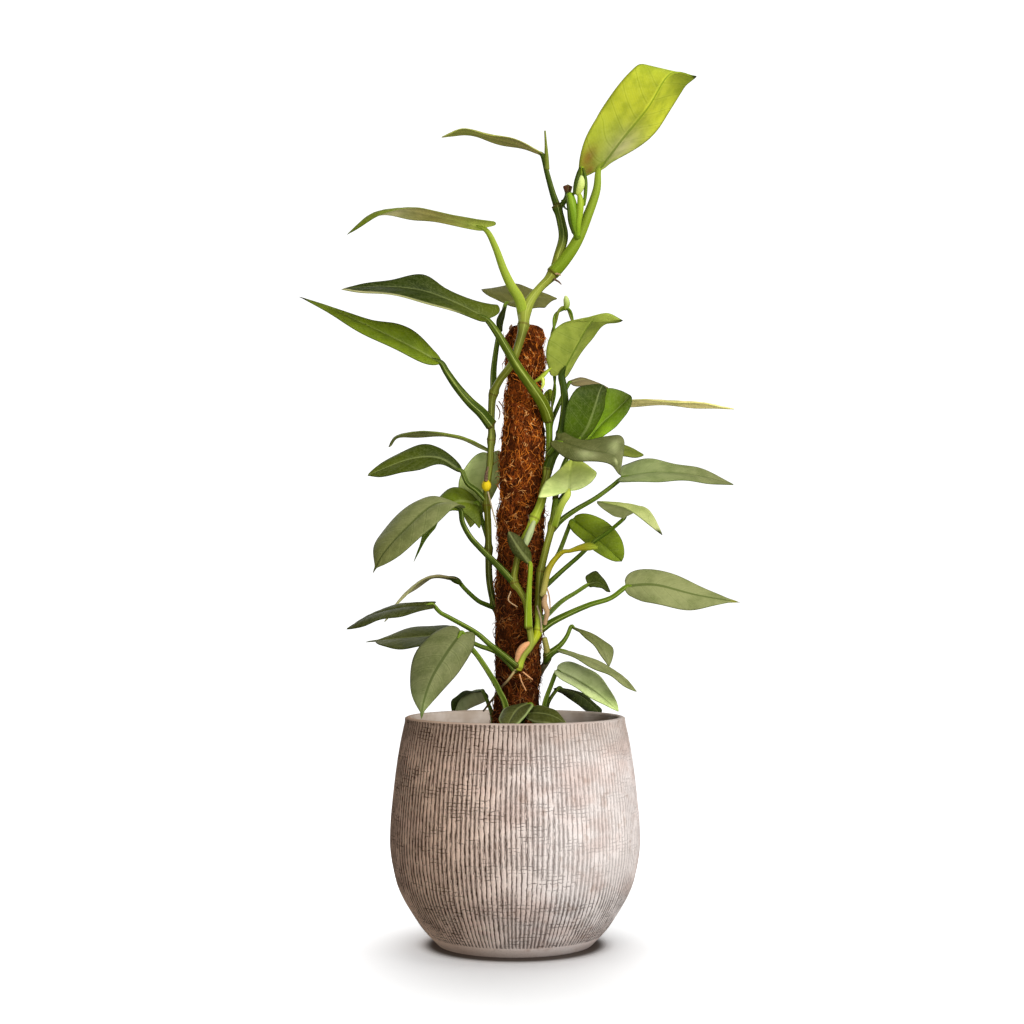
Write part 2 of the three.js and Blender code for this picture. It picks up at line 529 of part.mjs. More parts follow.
// A round rod along points [x, y, z, radius], swollen at the given heights.
function rodRings(path, sides, extra, swellings) {
  const curve = smoothCurve(path);
  const steps = Math.max(3, Math.round(curve.getLength() / STEM_STEP));
  const rings = [];
  let across = new THREE.Vector3(0, -1, 0);
  for (let s = 0; s <= steps; s += 1) {
    const t = s / steps;
    const place = t * (path.length - 1);
    const i = Math.min(Math.floor(place), path.length - 2);
    const centre = curve.getPoint(t);
    const along = curve.getTangent(t);
    const near = (height) => Math.exp(-(((centre.z - height) / NODE_LENGTH) ** 2));
    const swelling = swellings.reduce((sum, height) => sum + NODE_SWELLING * near(height), 0);
    const radius = mix(path[i][3], path[i + 1][3], place - i) + swelling + extra;
    across = across.addScaledVector(along, -across.dot(along)).normalize();
    const other = new THREE.Vector3().crossVectors(along, across);
    const ring = [];
    for (let k = 0; k < sides; k += 1) {
      const turn = (k / sides) * 2 * Math.PI;
      const out = across.clone().multiplyScalar(Math.cos(turn)).addScaledVector(other, Math.sin(turn));
      ring.push(centre.clone().addScaledVector(out, radius));
    }
    rings.push(ring);
  }
  const [first, last] = [curve.getPoint(0), curve.getPoint(1)];
  const shift = (ring, along, by) => ring.forEach((p) => p.addScaledVector(along, by));
  shift([first, ...rings[0]], curve.getTangent(0), -extra);
  shift([last, ...rings[steps]], curve.getTangent(1), extra);
  return [[first], ...rings, [last]];
}

function rod(path, sides = STEM_SIDES, extra = 0, swellings = []) {
  return solidOfRings(rodRings(path, sides, extra, swellings));
}

// Pot.
function potRadiusAt(height) {
  const belly = POT_BELLY_DIAMETER / 2;
  return belly * between(height, POT_OUTSIDE.map(([share, at]) => [at, share]));
}

function circle(segments, radiusAt, z) {
  const ring = [];
  for (let i = 0; i < segments; i += 1) {
    const turn = (i / segments) * 2 * Math.PI;
    const radius = radiusAt(i);
    ring.push(new THREE.Vector3(radius * Math.cos(turn), radius * Math.sin(turn), z));
  }
  return ring;
}

function potSolid() {
  const segments = GROOVE_COUNT * 2;
  const smooth = (radius, z) => circle(segments, () => radius, z);
  const grooved = (z) => circle(segments, (i) => potRadiusAt(z) - (i % 2) * GROOVE_DEPTH, z);
  const inside = (radius, z) => circle(INNER_SEGMENTS, () => radius, z);
  const rimRadius = potRadiusAt(GROOVES_TO_HEIGHT);
  const grooveHeights = [27, 40, 58, 84, 116, 150, 180];
  const rings = [
    [new THREE.Vector3(0, 0, 0)],
    inside(POT_FOOT_DIAMETER / 2, 0),
    smooth(POT_FOOT_DIAMETER / 2 + 1.6, 1.5),
    smooth(potRadiusAt(GROOVES_FROM_HEIGHT - 1), GROOVES_FROM_HEIGHT - 1),
    grooved(GROOVES_FROM_HEIGHT),
    ...grooveHeights.map(grooved),
    grooved(GROOVES_TO_HEIGHT),
    smooth(rimRadius, GROOVES_TO_HEIGHT + 0.6),
    smooth(rimRadius - 0.4, POT_HEIGHT - 1.4),
    inside(rimRadius - 2.4, POT_HEIGHT),
    inside(rimRadius - 5, POT_HEIGHT),
    inside(rimRadius - POT_WALL, POT_HEIGHT - 2),
    ...[172, 134, 96, 62, 34].map((z) => inside(potInnerRadiusAt(z), z)),
    inside(potInnerRadiusAt(POT_FLOOR + 4), POT_FLOOR),
    [new THREE.Vector3(0, 0, POT_FLOOR)],
  ];
  return solidOfRings(rings);
}

function potInnerRadiusAt(height) {
  return potRadiusAt(height) - GROOVE_DEPTH - POT_WALL;
}

// Soil, with a plain hole for each stem and for the pole.
function soilSolid(holes) {
  const wall = (z) => circle(INNER_SEGMENTS, () => potInnerRadiusAt(z) - SOIL_GAP, z);
  const surface = (radius) => circle(INNER_SEGMENTS, () => radius, SOIL_LEVEL).map((p) => {
    const wide = Math.sin(p.x * 0.17 + 1) * Math.cos(p.y * 0.14);
    const small = Math.sin(p.x * 0.31 - p.y * 0.27);
    return new THREE.Vector3(p.x, p.y, SOIL_LEVEL + (wide + 0.5 * small) * SOIL_BUMP);
  });
  const foot = POT_FLOOR + SOIL_GAP;
  const rings = [
    [new THREE.Vector3(0, 0, foot)],
    circle(INNER_SEGMENTS, () => potInnerRadiusAt(POT_FLOOR + 4) - 2, foot),
    ...[34, 62, 96, 134, 172].map(wall),
    surface(88),
    surface(64),
    surface(38),
    [new THREE.Vector3(0, 0, SOIL_LEVEL)],
  ];
  return clearOf(solidOfRings(rings), holes);
}

// Pole. Its axis leans to the right.
function poleAxis(z) {
  return new THREE.Vector3(POLE_FOOT_X + POLE_LEAN * z, 0, z);
}

function poleRing(z, sides, radiusAt) {
  const centre = poleAxis(z);
  return circle(sides, radiusAt, 0).map((p) => p.add(centre));
}

function stakeSolid(extra = 0) {
  const sides = 16;
  const ring = (z, radius) => poleRing(z, sides, () => radius + extra);
  return solidOfRings([
    [poleAxis(STAKE_FOOT - 2 * extra)],
    ring(STAKE_FOOT + 16, STAKE_RADIUS),
    ring(STAKE_TOP - 3, STAKE_RADIUS),
    ring(STAKE_TOP, STAKE_RADIUS - 3),
    [poleAxis(STAKE_TOP + extra)],
  ]);
}

function coirRadiusAt(z, i) {
  const turn = (i / COIR_SIDES) * 2 * Math.PI;
  const wide = Math.sin(turn * 3 + z * 0.11) + Math.sin(turn * 2 + z * 0.05);
  const small = Math.sin(turn * 5 - z * 0.23);
  return between(z, COIR_RADII) + (wide + 0.6 * small) * COIR_RELIEF;
}

function coirSolid() {
  const sides = COIR_SIDES;
  const bore = (z, radius) => poleRing(z, sides, () => radius);
  const rings = [bore(COIR_FOOT, COIR_BORE)];
  for (let z = COIR_FOOT; z < COIR_TOP; z += COIR_STEP) {
    rings.push(poleRing(z, sides, (i) => coirRadiusAt(z, i)));
  }
  rings.push(poleRing(COIR_TOP - 3, sides, (i) => coirRadiusAt(COIR_TOP - 3, i)));
  rings.push(bore(COIR_TOP, 9));
  rings.push([poleAxis(COIR_TOP + 1)]);
  const outside = solidOfRings([[poleAxis(COIR_FOOT)], ...rings.slice(1)]);
  const stakeHole = solidOfRings([
    [poleAxis(COIR_FOOT - 5)],
    bore(COIR_FOOT - 5, COIR_BORE),
    bore(STAKE_TOP + 1, COIR_BORE),
    [poleAxis(STAKE_TOP + 1)],
  ]);
  return outside.subtract(stakeHole);
}

// Stems.
function vineLeftSolid(extra = 0) {
  const stem = rod(VINE_LEFT, STEM_SIDES, extra, VINE_LEFT_NODES);
  return stem.add(rod(STUB, STEM_SIDES, extra)).add(rod(KNOB, STEM_SIDES, extra));
}

function vineFrontSolid(extra = 0) {
  const main = rod(VINE_FRONT, STEM_SIDES, extra, VINE_FRONT_NODES);
  const branch = rod(VINE_FRONT_BRANCH, STEM_SIDES, extra, VINE_FRONT_BRANCH_NODES);
  return main.add(branch).add(rod(AERIAL_ROOT, STALK_SIDES, extra));
}

function vineLowSolid(extra = 0) {
  return rod(VINE_LOW, STEM_SIDES, extra, VINE_LOW_NODES);
}

// Leaf blades.
function ribPoint(curve, share) {
  const ends = share < 0 ? [0, 0.02] : [0.98, 1];
  if (share >= 0 && share <= 1) return curve.getPoint(share);
  const from = curve.getPoint(share < 0 ? 0 : 1);
  const along = curve.getPoint(ends[1]).sub(curve.getPoint(ends[0])).divideScalar(0.02);
  return from.addScaledVector(along, share < 0 ? share : share - 1);
}

// The half width by five shares: smooth from one to the next, and round at the base.
function widthByShares(share, shares) {
  const values = [0, ...shares, 0];
  if (share < PROFILE_AT[1]) return values[1] * Math.sqrt(Math.max(share, 0) / PROFILE_AT[1]);
  let i = 1;
  while (i < 5 && share > PROFILE_AT[i + 1]) i += 1;
  const slope = (j) => {
    const [a, b] = j <= 1 ? [1, 2] : j >= 6 ? [5, 6] : [j - 1, j + 1];
    return (values[b] - values[a]) / (PROFILE_AT[b] - PROFILE_AT[a]);
  };
  const span = PROFILE_AT[i + 1] - PROFILE_AT[i];
  const t = (share - PROFILE_AT[i]) / span;
  const level = (2 * t ** 3 - 3 * t ** 2 + 1) * values[i] + (3 * t ** 2 - 2 * t ** 3) * values[i + 1];
  const bend = (t ** 3 - 2 * t ** 2 + t) * slope(i) + (t ** 3 - t ** 2) * slope(i + 1);
  return Math.max(level + bend * span, 0);
}

function halfWidth(share, half, tail) {
  const along = Math.min(share / (1 - tail), 0.999);
  let width = 0;
  if (Array.isArray(half.shape)) {
    width = widthByShares(along, half.shape);
  } else if (along > 0) {
    const fall = (half.shape * (1 - half.widest)) / half.widest;
    width = (along / half.widest) ** half.shape * ((1 - along) / (1 - half.widest)) ** fall;
  }
  return tail > 0 && share > 0.5 ? Math.max(width, (0.06 * (1 - share)) / tail) : width;
}

// One point of the blade's middle sheet: share runs from base to tip, across from 0 at the
// midrib to 1 at the edge.
function sheetPoint(curve, half, sign, share, across, leaf) {
  const tail = leaf.tail ?? 0;
  const width = halfWidth(share, half, tail);
  const swing = share < 0.3 ? half.lobe * Math.sin((Math.PI * share) / 0.3) : 0;
  const edgeShare = share + VEIN_SWEEP * Math.sin(Math.PI * share) - swing;
  const along = curve.getTangent(Math.min(Math.max(share, 0.02), 0.98));
  const reach = new THREE.Vector3(...half.reach);
  reach.applyAxisAngle(along, THREE.MathUtils.degToRad(leaf.twist ?? 0) * (share - half.widest));
  const rib = ribPoint(curve, share);
  const edge = ribPoint(curve, edgeShare).addScaledVector(reach, width);
  const up = new THREE.Vector3().crossVectors(along, reach).multiplyScalar(-sign).normalize();
  const wavePhase = 2 * Math.PI * (WAVES_PER_LEAF * share + leaf.phase + (sign > 0 ? 0.37 : 0));
  const wave = EDGE_WAVE * Math.sin(wavePhase) * Math.min(width, 1) * across ** 2;
  const cup = BLADE_CUP * 4 * across * (1 - across) * width;
  return rib.lerp(edge, across).addScaledVector(up, cup + wave);
}

function bladeSolid(leaf) {
  const curve = smoothCurve(leaf.rib);
  const rows = Math.max(6, Math.round(curve.getLength() / ROW_LENGTH));
  const columns = 2 * HALF_COLUMNS + 1;
  const sheet = [];
  for (let r = 0; r <= rows; r += 1) {
    const share = r / rows;
    const row = [];
    for (let c = 0; c < columns; c += 1) {
      const sign = c < HALF_COLUMNS ? -1 : 1;
      const across = Math.abs(c - HALF_COLUMNS) / HALF_COLUMNS;
      row.push(sheetPoint(curve, sign < 0 ? leaf.left : leaf.right, sign, share, across, leaf));
    }
    sheet.push(row);
  }
  const points = [];
  const index = (face, r, c) => {
    if (r === 0) return face;
    if (r === rows) return 2 + face;
    return 4 + face * (rows - 1) * columns + (r - 1) * columns + c;
  };
  const normalAt = (r, c) => {
    const row = Math.min(Math.max(r, 1), rows - 1);
    const downRow = sheet[row + 1][c].clone().sub(sheet[row - 1][c]);
    const [before, after] = [sheet[row][Math.max(c - 1, 0)], sheet[row][Math.min(c + 1, columns - 1)]];
    return after.clone().sub(before).cross(downRow).normalize();
  };
  for (const r of [0, rows]) {
    const normal = normalAt(r, HALF_COLUMNS);
    points.push(sheet[r][HALF_COLUMNS].clone().addScaledVector(normal, BLADE_THICKNESS / 2));
    points.push(sheet[r][HALF_COLUMNS].clone().addScaledVector(normal, -BLADE_THICKNESS / 2));
  }
  for (const face of [0, 1]) {
    for (let r = 1; r < rows; r += 1) {
      for (let c = 0; c < columns; c += 1) {
        const ribDepth = face === 1 && c === HALF_COLUMNS ? RIB_HEIGHT * (1 - r / rows) : 0;
        const side = face === 0 ? BLADE_THICKNESS / 2 : -BLADE_THICKNESS / 2 - ribDepth;
        points.push(sheet[r][c].clone().addScaledVector(normalAt(r, c), side));
      }
    }
  }
  const triangles = [];
  const addFace = (a, b, c, flip) => {
    if (a === b || b === c || a === c) return;
    triangles.push(flip ? [a, c, b] : [a, b, c]);
  };
  for (const face of [0, 1]) {
    for (let r = 0; r < rows; r += 1) {
      for (let c = 0; c + 1 < columns; c += 1) {
        const [p, q] = [index(face, r, c), index(face, r, c + 1)];
        const [s, t] = [index(face, r + 1, c), index(face, r + 1, c + 1)];
        if (c < HALF_COLUMNS) {
          addFace(p, q, t, face === 1);
          addFace(p, t, s, face === 1);
        } else {
          addFace(p, q, s, face === 1);
          addFace(q, t, s, face === 1);
        }
      }
    }
  }
  for (let r = 0; r < rows; r += 1) {
    const last = columns - 1;
    addFace(index(0, r, 0), index(0, r + 1, 0), index(1, r + 1, 0), false);
    addFace(index(0, r, 0), index(1, r + 1, 0), index(1, r, 0), false);
    addFace(index(0, r, last), index(1, r + 1, last), index(0, r + 1, last), false);
    addFace(index(0, r, last), index(1, r, last), index(1, r + 1, last), false);
  }
  return solidOf(points, triangles);
}

// A leaf's stalk is thick where it clasps the stem and runs a little way into the rib.
function stalkPath(leaf) {
  const [base, top] = leaf.stalkRadius;
  const taper = leaf.taper ?? STALK_TAPER;
  const end = smoothCurve(leaf.rib).getPoint(0.07);
  const points = [...leaf.stalk, [end.x, end.y, end.z]];
  const last = points.length - 2;
  const radiusAt = (i) => (i > last ? STALK_END_RADIUS : mix(top, base, (1 - i / last) ** taper));
  return points.map((p, i) => [p[0], p[1], p[2], radiusAt(i)]);
}

function leafSolid(leaf, cutters) {
  const stalk = clearOf(rod(stalkPath(leaf), STALK_SIDES), cutters);
  return biggestPiece(bladeSolid(leaf).add(stalk));
}

// The plant and its pot.
const group = new THREE.Group();
group.name = "potted_silver_queen_philodendron";

function addPiece(name, solid, finish) {
  const mesh = new THREE.Mesh(geometryOf(solid), new THREE.MeshStandardMaterial(FINISHES[finish]));
  mesh.name = name;
  group.add(mesh);
}

const stemCutters = [vineLeftSolid, vineFrontSolid, vineLowSolid].map((stem) => stem(CLEARANCE));
const rootedStalks = Object.values(LEAVES).filter((leaf) => leaf.stalk[0][2] < SOIL_LEVEL);
const soilHoles = [
  stakeSolid(CLEARANCE),
  solidOfRings([
    [poleAxis(COIR_FOOT - 1)],
    poleRing(COIR_FOOT - 1, COIR_SIDES, () => COIR_HOLE_RADIUS),
    poleRing(SOIL_LEVEL + 10, COIR_SIDES, () => COIR_HOLE_RADIUS),
    [poleAxis(SOIL_LEVEL + 10)],
  ]),
  ...stemCutters,
  ...rootedStalks.map((leaf) => rod(stalkPath(leaf), STALK_SIDES, CLEARANCE)),
];

addPiece("pot", potSolid(), "pot");
addPiece("soil", soilSolid(soilHoles), "soil");
addPiece("pole_stake", stakeSolid(), "stake");
addPiece("pole_coir", coirSolid(), "coir");
addPiece("vine_left", vineLeftSolid(), "stem");
addPiece("vine_front", vineFrontSolid(), "stem");
addPiece("vine_low", vineLowSolid(), "stem");
// Each stalk is cut clear of the stems and of the stalks before it.
const stalkCutters = [];
Object.entries(LEAVES).forEach(([name, leaf], i) => {
  const phased = { ...leaf, phase: (i * 0.618) % 1 };
  addPiece(name, leafSolid(phased, [...stemCutters, ...stalkCutters]), leaf.finish ?? "leaf");
  stalkCutters.push(rod(stalkPath(leaf), STALK_SIDES, CLEARANCE));
});
const allCutters = [...stemCutters, ...stalkCutters];
const bractCutter = rod(BRACT_YELLOW, STALK_SIDES, CLEARANCE);
const curled = rod(SHOOT_CURLED, STALK_SIDES).add(rod(SHOOT_CURLED_BUD, STALK_SIDES));
const sheath = rod(SHEATH_BROWN, STALK_SIDES);
const bract = rod(BRACT_YELLOW, STALK_SIDES);
addPiece("shoot_tip", biggestPiece(clearOf(rod(SHOOT_TIP), allCutters)), "young");
addPiece("shoot_curled", biggestPiece(clearOf(curled, allCutters)), "young");
addPiece("sheath_brown", biggestPiece(clearOf(sheath, [...allCutters, bractCutter])), "dry");
addPiece("bract_yellow", biggestPiece(clearOf(bract, allCutters)), "yellow");

export default group;
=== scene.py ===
"""Potted silver queen philodendron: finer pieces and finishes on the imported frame.

Sizes in the tables are millimetres, +Z up. The origin is the middle of the pot's flat foot
and the front faces -Y. Meshes are written in metres.
"""

import math

import bpy
import numpy as np
from mathutils import Matrix, Vector, noise


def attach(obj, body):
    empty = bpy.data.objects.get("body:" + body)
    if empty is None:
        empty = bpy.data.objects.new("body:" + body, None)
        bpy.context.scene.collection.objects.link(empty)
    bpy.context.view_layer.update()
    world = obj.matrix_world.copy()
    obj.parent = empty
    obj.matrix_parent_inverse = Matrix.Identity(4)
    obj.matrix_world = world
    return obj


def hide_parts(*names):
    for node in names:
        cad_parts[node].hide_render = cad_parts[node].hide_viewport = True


bl_info = {
    "name": "Potted silver queen philodendron",
    "version": (1, 0, 0),
    "blender": (4, 5, 0),
    "location": "View3D > Sidebar > Plant",
    "description": "Builds the climbing plant, its coir pole and combed pot on the packed frame",
    "category": "Object",
}

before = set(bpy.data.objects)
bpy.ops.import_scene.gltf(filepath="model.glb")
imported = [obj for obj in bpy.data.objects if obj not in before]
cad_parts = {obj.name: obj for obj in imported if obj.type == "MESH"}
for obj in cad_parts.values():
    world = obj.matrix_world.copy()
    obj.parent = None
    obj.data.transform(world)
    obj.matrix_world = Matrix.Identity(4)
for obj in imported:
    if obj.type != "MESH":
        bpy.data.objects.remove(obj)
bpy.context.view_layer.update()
BODY = "root"
MM = 0.001

# Pot: as shares of the belly's radius at heights above the foot.
POT_BELLY_RADIUS = 115
POT_HEIGHT = 207
POT_WALL = 7
POT_FOOT_RADIUS = 71
POT_FLOOR = 10
POT_FOOT_BAND = 9
POT_COMBED_TO = 205.4
POT_OUTSIDE = [
    (1.5, 0.632), (14, 0.735), (29, 0.825), (43, 0.897), (57, 0.948), (84, 0.995),
    (106, 0.998), (132, 0.98), (163, 0.948), (186, 0.915), (203, 0.883),
]
CAD_GROOVE_DEPTH = 0.9

# Soil and pole.
SOIL_LEVEL = 178
POLE_FOOT_X = -3
POLE_LEAN = 0.0227
COIR_FOOT = 150
COIR_TOP = 570
COIR_BORE = 11.4
COIR_RELIEF = 0.45
# The coir's radius at heights above the pot's foot: it is pinched in where it is tied.
COIR_RADII = [
    (150, 19.5), (185, 20.5), (202, 22.5), (215, 22), (232, 20), (247, 21.5), (262, 20),
    (285, 21.5), (330, 22), (395, 21.5), (410, 19.8), (425, 21), (463, 20.5), (483, 18.8),
    (500, 18.4), (518, 15.4), (534, 18.4), (547, 16.8), (558, 18.8), (565, 16.8), (570, 11.4),
]

# Stems and stalks.
NODE_SWELLING = 1.1
NODE_LENGTH = 4
STALK_END_RADIUS, STALK_ENDS_AT = 0.9, 0.07
STALK_SCAR, STALK_SCAR_LENGTH = 0.8, 0.015
STALK_TAPER = 1.6

# Leaf blades.
BLADE_THICKNESS = 0.8
RIB_HEIGHT = 1.3
RIB_RADII, RIB_GROOVE, RIB_NARROW = (1.5, 0.5), 0.5, 0.8
FEWEST_ROWS, ROWS_TO_ENDS = 26, 0.6
TAIL_HALF_WIDTH = 0.06
RIGHT_VEINS, VEIN_CURVE = 0.4, 1.3
VEIN_SWEEP = 0.05
BLADE_CUP = 1.6
EDGE_WAVE = 1.2
FULL_WAVE_LENGTH = 90
LOBE_SHARE = 0.3
LOBE_ROUND = 0.6
WAVES_PER_LEAF = 2.2
WAVE_PHASE_STEP = 0.618
RIGHT_PHASE = 0.37
PROFILE_AT = [0, 0.08, 0.25, 0.45, 0.65, 0.85, 1]
BLADE_ROW = 2.4
BLADE_HALF_COLUMNS = 11
QUILT_HEIGHT = 0.35
QUILT_SINK = 0.6
VEINS_PER_LEAF = 9
VEIN_SLANT = 0.17

# Finishes of the pot: its slip on the right and on the left, where it is warmer and darker as
# painted shade, and the step of the cross scratches.
SHADED_LEFT_SLIP = "#f9d2b5"
RIGHT_SIDE_SLIP = "#f6ebe5"
BARE_CLAY = "#38200f"
CROSS_SCRATCH_STEP = 3.1

# Finishes of the soil and the coir.
DAMP_SOIL = "#4a3323"
COIR_STRAND = "#8f4513"
GOLDEN_FIBRE = "#dba05f"

# Finishes: the colours a leaf, stalk or stem can have.
SHADES = {
    "silver": "#72754a", "silver_bright": "#aeb17e", "silver_pale": "#8f9a62", "sage": "#585a2c",
    "sage_dark": "#32350f", "grey_olive": "#575526", "taupe": "#665a3c", "moss": "#515b0a",
    "forest": "#2a3602", "forest_dark": "#212803", "green": "#4b6209", "fresh": "#6a8714",
    "lime": "#a4a828", "leaf_lime": "#8f9d2c", "lime_pale": "#bbc456", "olive_tan": "#9a9440",
    "olive": "#5f6720", "straw": "#e8d890", "yellow": "#867c0c", "knob": "#bda414",
    "brown": "#a0805a", "dark_brown": "#3c2716", "stalk_dark": "#34430a", "stalk_green": "#536a10",
    "stalk_light": "#728516", "stem_olive": "#4a4a08", "stem_pale": "#686b1f",
    "stem_dark": "#262c0a", "root_pale": "#b39c6a", "avocado": "#5c6b0b", "tan": "#958c4a",
    "lime_grey": "#9ba743", "young_stalk": "#96a236", "stem_light": "#7c8330", "bud": "#b9c47c",
    "torn": "#c98f5e", "node_yellow": "#9aa016", "root_sage": "#9aa070", "silver_fold": "#929a6e",
    "stub_brown": "#5a3422", "dull_root": "#93876a", "blush": "#b7b07e", "rust": "#7c4416",
    "stem_grey": "#55581c", "pale_bract": "#9aa373", "painted_lit_fold": "#a2aa76",
}

VINE_LEFT = [
    [-10, 28, 120, 3.2], [-10, 28, 200, 3.2], [-10, 28, 240, 3.2], [-11, 26.5, 276, 3.2],
    [-16, 22, 300, 3.2], [-21, 13, 316, 3.2], [-24, 4, 335, 3.2], [-24.5, -2, 360, 3.2],
    [-25, -5, 384, 3.2], [-26, -6, 402, 3.2], [-26, -7, 418, 3.2], [-23.5, -6, 439, 3.2],
    [-22, -5, 462, 3.2], [-22, -4, 486, 3.3], [-20.5, -6, 504, 3.6], [-14, -16, 517, 3.5],
    [-3, -26, 531, 3.6], [3.5, -27, 549, 3.9], [7.5, -25, 565, 4.4], [9, -15, 580, 6],
    [14, -10, 592, 5], [23, -8, 604, 3.9], [34.5, -6, 617, 4.4], [40, -4, 634, 4.4],
    [45, -3, 652, 4.6], [43, -3, 667, 4.2], [39, -3, 682, 3.9],
]
VINE_LEFT_NODES = [309, 361, 402, 462, 506, 566, 617, 681]
STUB = [[40, -3, 679, 2.8], [46, -4, 686, 2.4], [49, -4, 693, 2.6], [49.2, -4, 700, 4.6]]
KNOB = [
    [-26.5, -9, 415, 2], [-26.5, -9.5, 418, 4.2], [-26.5, -9.5, 422, 4.2], [-26.5, -9, 425, 2],
]

VINE_FRONT = [
    [2.5, -27, 251, 2.6], [8, -28, 264, 3], [14.5, -28, 274, 3], [13, -27, 291, 3],
    [10, -27, 312, 3.1], [3.5, -28, 324, 3.1], [-1, -28, 331, 3.4], [1, -28, 346, 3],
    [5.5, -27, 364, 3.2], [13.5, -26, 380, 3.4], [18, -25, 390, 4], [24, -22, 404, 4],
    [26.5, -19, 417, 3.8], [30, -15, 434, 3.6], [31.5, -12, 457, 3.1], [31.5, -10, 480, 3.4],
    [32.5, -9, 488, 3],
]
VINE_FRONT_NODES = [253, 330, 389, 434, 480]
VINE_FRONT_BRANCH = [
    [14, -28, 272, 3], [21, -25, 286, 3.4], [21, -25, 309, 3.2], [23, -23, 337, 3.4],
    [28.5, -20, 362, 3.3], [34, -18, 383, 3.3], [37.5, -14, 407, 2.8],
]
VINE_FRONT_BRANCH_NODES = [287, 340, 383]
AERIAL_ROOT = [
    [2, -27, 253, 1.2], [-6, -26.5, 242, 1.1], [-13, -24.5, 234, 1.1], [-19, -24, 226, 1],
    [-29, -22, 213, 0.9],
]

VINE_LOW = [
    [12, 28, 120, 3], [12, 28, 200, 3], [13, 27, 226, 3], [21, 21, 243, 3], [29, 4, 257, 3],
    [29.5, -8, 267, 3], [27, -15, 279, 2.6],
]
VINE_LOW_NODES = [262]

# Rootlets, hooks and bits of dead sheath on the stems: skin (0 living, 1 papery), shade, points.
LEFT_TRIFLES = [
    (1, "brown", [[36, -10, 617, 1], [40, -12, 616.5, 0.9], [42.5, -13, 615, 0.5]]),
    (1, "dark_brown", [[36, -10, 612, 1], [40, -12, 609.5, 0.9], [43, -13, 606.5, 0.5]]),
    (0, "stalk_dark", [[44, -5, 687, 1.2], [46, -8, 680, 1], [49, -9, 677, 0.6]]),
    (1, "dark_brown", [[-5, -31, 562, 1], [-4, -32.5, 564, 1.2], [-3, -32, 566, 0.8]]),
    (1, "dark_brown", [[-27, -13, 424, 1.9], [-26.5, -14, 430, 1.5], [-25, -13, 437, 0.8]]),
    (1, "dull_root", [[-25, -11, 414, 0.8], [-22, -14, 402, 0.7], [-19, -16, 390, 0.6],
        [-16, -20, 380, 0.5]]),
    (1, "dark_brown", [[-15, -20, 497, 0.6], [-11, -22, 491, 0.6], [-9, -24, 484, 0.5]]),
    (1, "dark_brown", [[-17, -16, 494, 0.6], [-14, -20, 487, 0.6], [-15, -22, 480, 0.5]]),
]
FRONT_TRIFLES = [
    (0, "root_sage", [[-14, -25, 233, 1.2], [-11.5, -26, 224, 1.3], [-8, -27, 213, 1.1]]),
    (1, "torn", [[1, -29, 258, 1.6], [3.5, -30, 266, 3], [8, -30, 272, 3.2], [14, -29, 276, 1.4]]),
    (1, "torn", [[4, -29, 247, 0.7], [6, -29.5, 240, 0.6], [10, -29, 232, 0.5]]),
    (1, "torn", [[7, -29, 249, 0.6], [12, -29.5, 245, 0.7], [16, -29, 242, 0.5]]),
    (1, "dull_root", [[24, -29, 285, 0.9], [23.5, -30, 297, 1], [20, -30, 309, 0.7]]),
    (1, "brown", [[27, -29, 331, 0.8], [31, -31, 318, 0.7], [32, -31, 306, 0.5]]),
    (1, "dark_brown", [[12, -27, 392, 0.7], [14, -29, 380, 0.6], [10, -29, 372, 0.5]]),
    (0, "pale_bract", [[18, -28, 388, 1.5], [14.5, -30, 378, 3], [10.5, -31, 368, 3],
        [8, -31, 361, 1.5]]),
    (1, "brown", [[-4, -30, 322, 0.6], [-6, -31, 314, 0.6], [2, -31, 308, 0.5]]),
    (0, "leaf_lime", [[18, -20, 515, 1.3], [24, -21, 519, 2], [29, -20, 524, 1.7],
        [33, -18, 528, 0.8]]),
    (0, "lime_pale", [[25, -21, 520, 1.4], [26, -22, 513, 1.6], [24, -22, 508, 0.8]]),
]

# New growth and dying sheaths: points [x, y, z, radius].
SHOOT_TIP = [
    ("stalk_green", "fresh", [[58.5, -10, 650, 3], [55, -14, 660, 3.6], [54, -15, 671, 5],
        [52.4, -15, 682, 4.8], [50.8, -15, 691, 3.4]]),
    ("forest", "stalk_dark", [[54, -15, 654, 1.4], [50.6, -18, 664, 1.5], [49.4, -19, 676, 1.4],
        [48, -18, 688, 0.9]]),
    ("fresh", "leaf_lime", [[58.5, -12, 652, 2.2], [58.5, -16, 662, 2.8], [60, -17, 674, 3.4],
        [60.6, -17, 684, 3], [59, -16, 692, 1.6]]),
    ("lime_grey", "bud", [[57.5, -17, 690, 2.6], [59.8, -18, 696, 4.2], [61, -18, 702, 3.8],
        [61.5, -17, 707, 1.6]]),
    ("stalk_dark", "forest", [[55, -18, 690, 1.7], [56.2, -20, 699, 2.1], [58.4, -19, 708, 1.9],
        [60.2, -16, 715, 1]]),
    ("stalk_green", "stalk_dark", [[64, -15, 680, 1.4], [65.4, -16, 692, 1.8],
        [65.4, -16, 704, 1.8], [63.4, -14, 715, 1]]),
    ("stalk_dark", "stalk_light", [[60, -14, 700, 2], [61.4, -13, 709, 2.6],
        [62.4, -12, 717, 1.4]]),
]
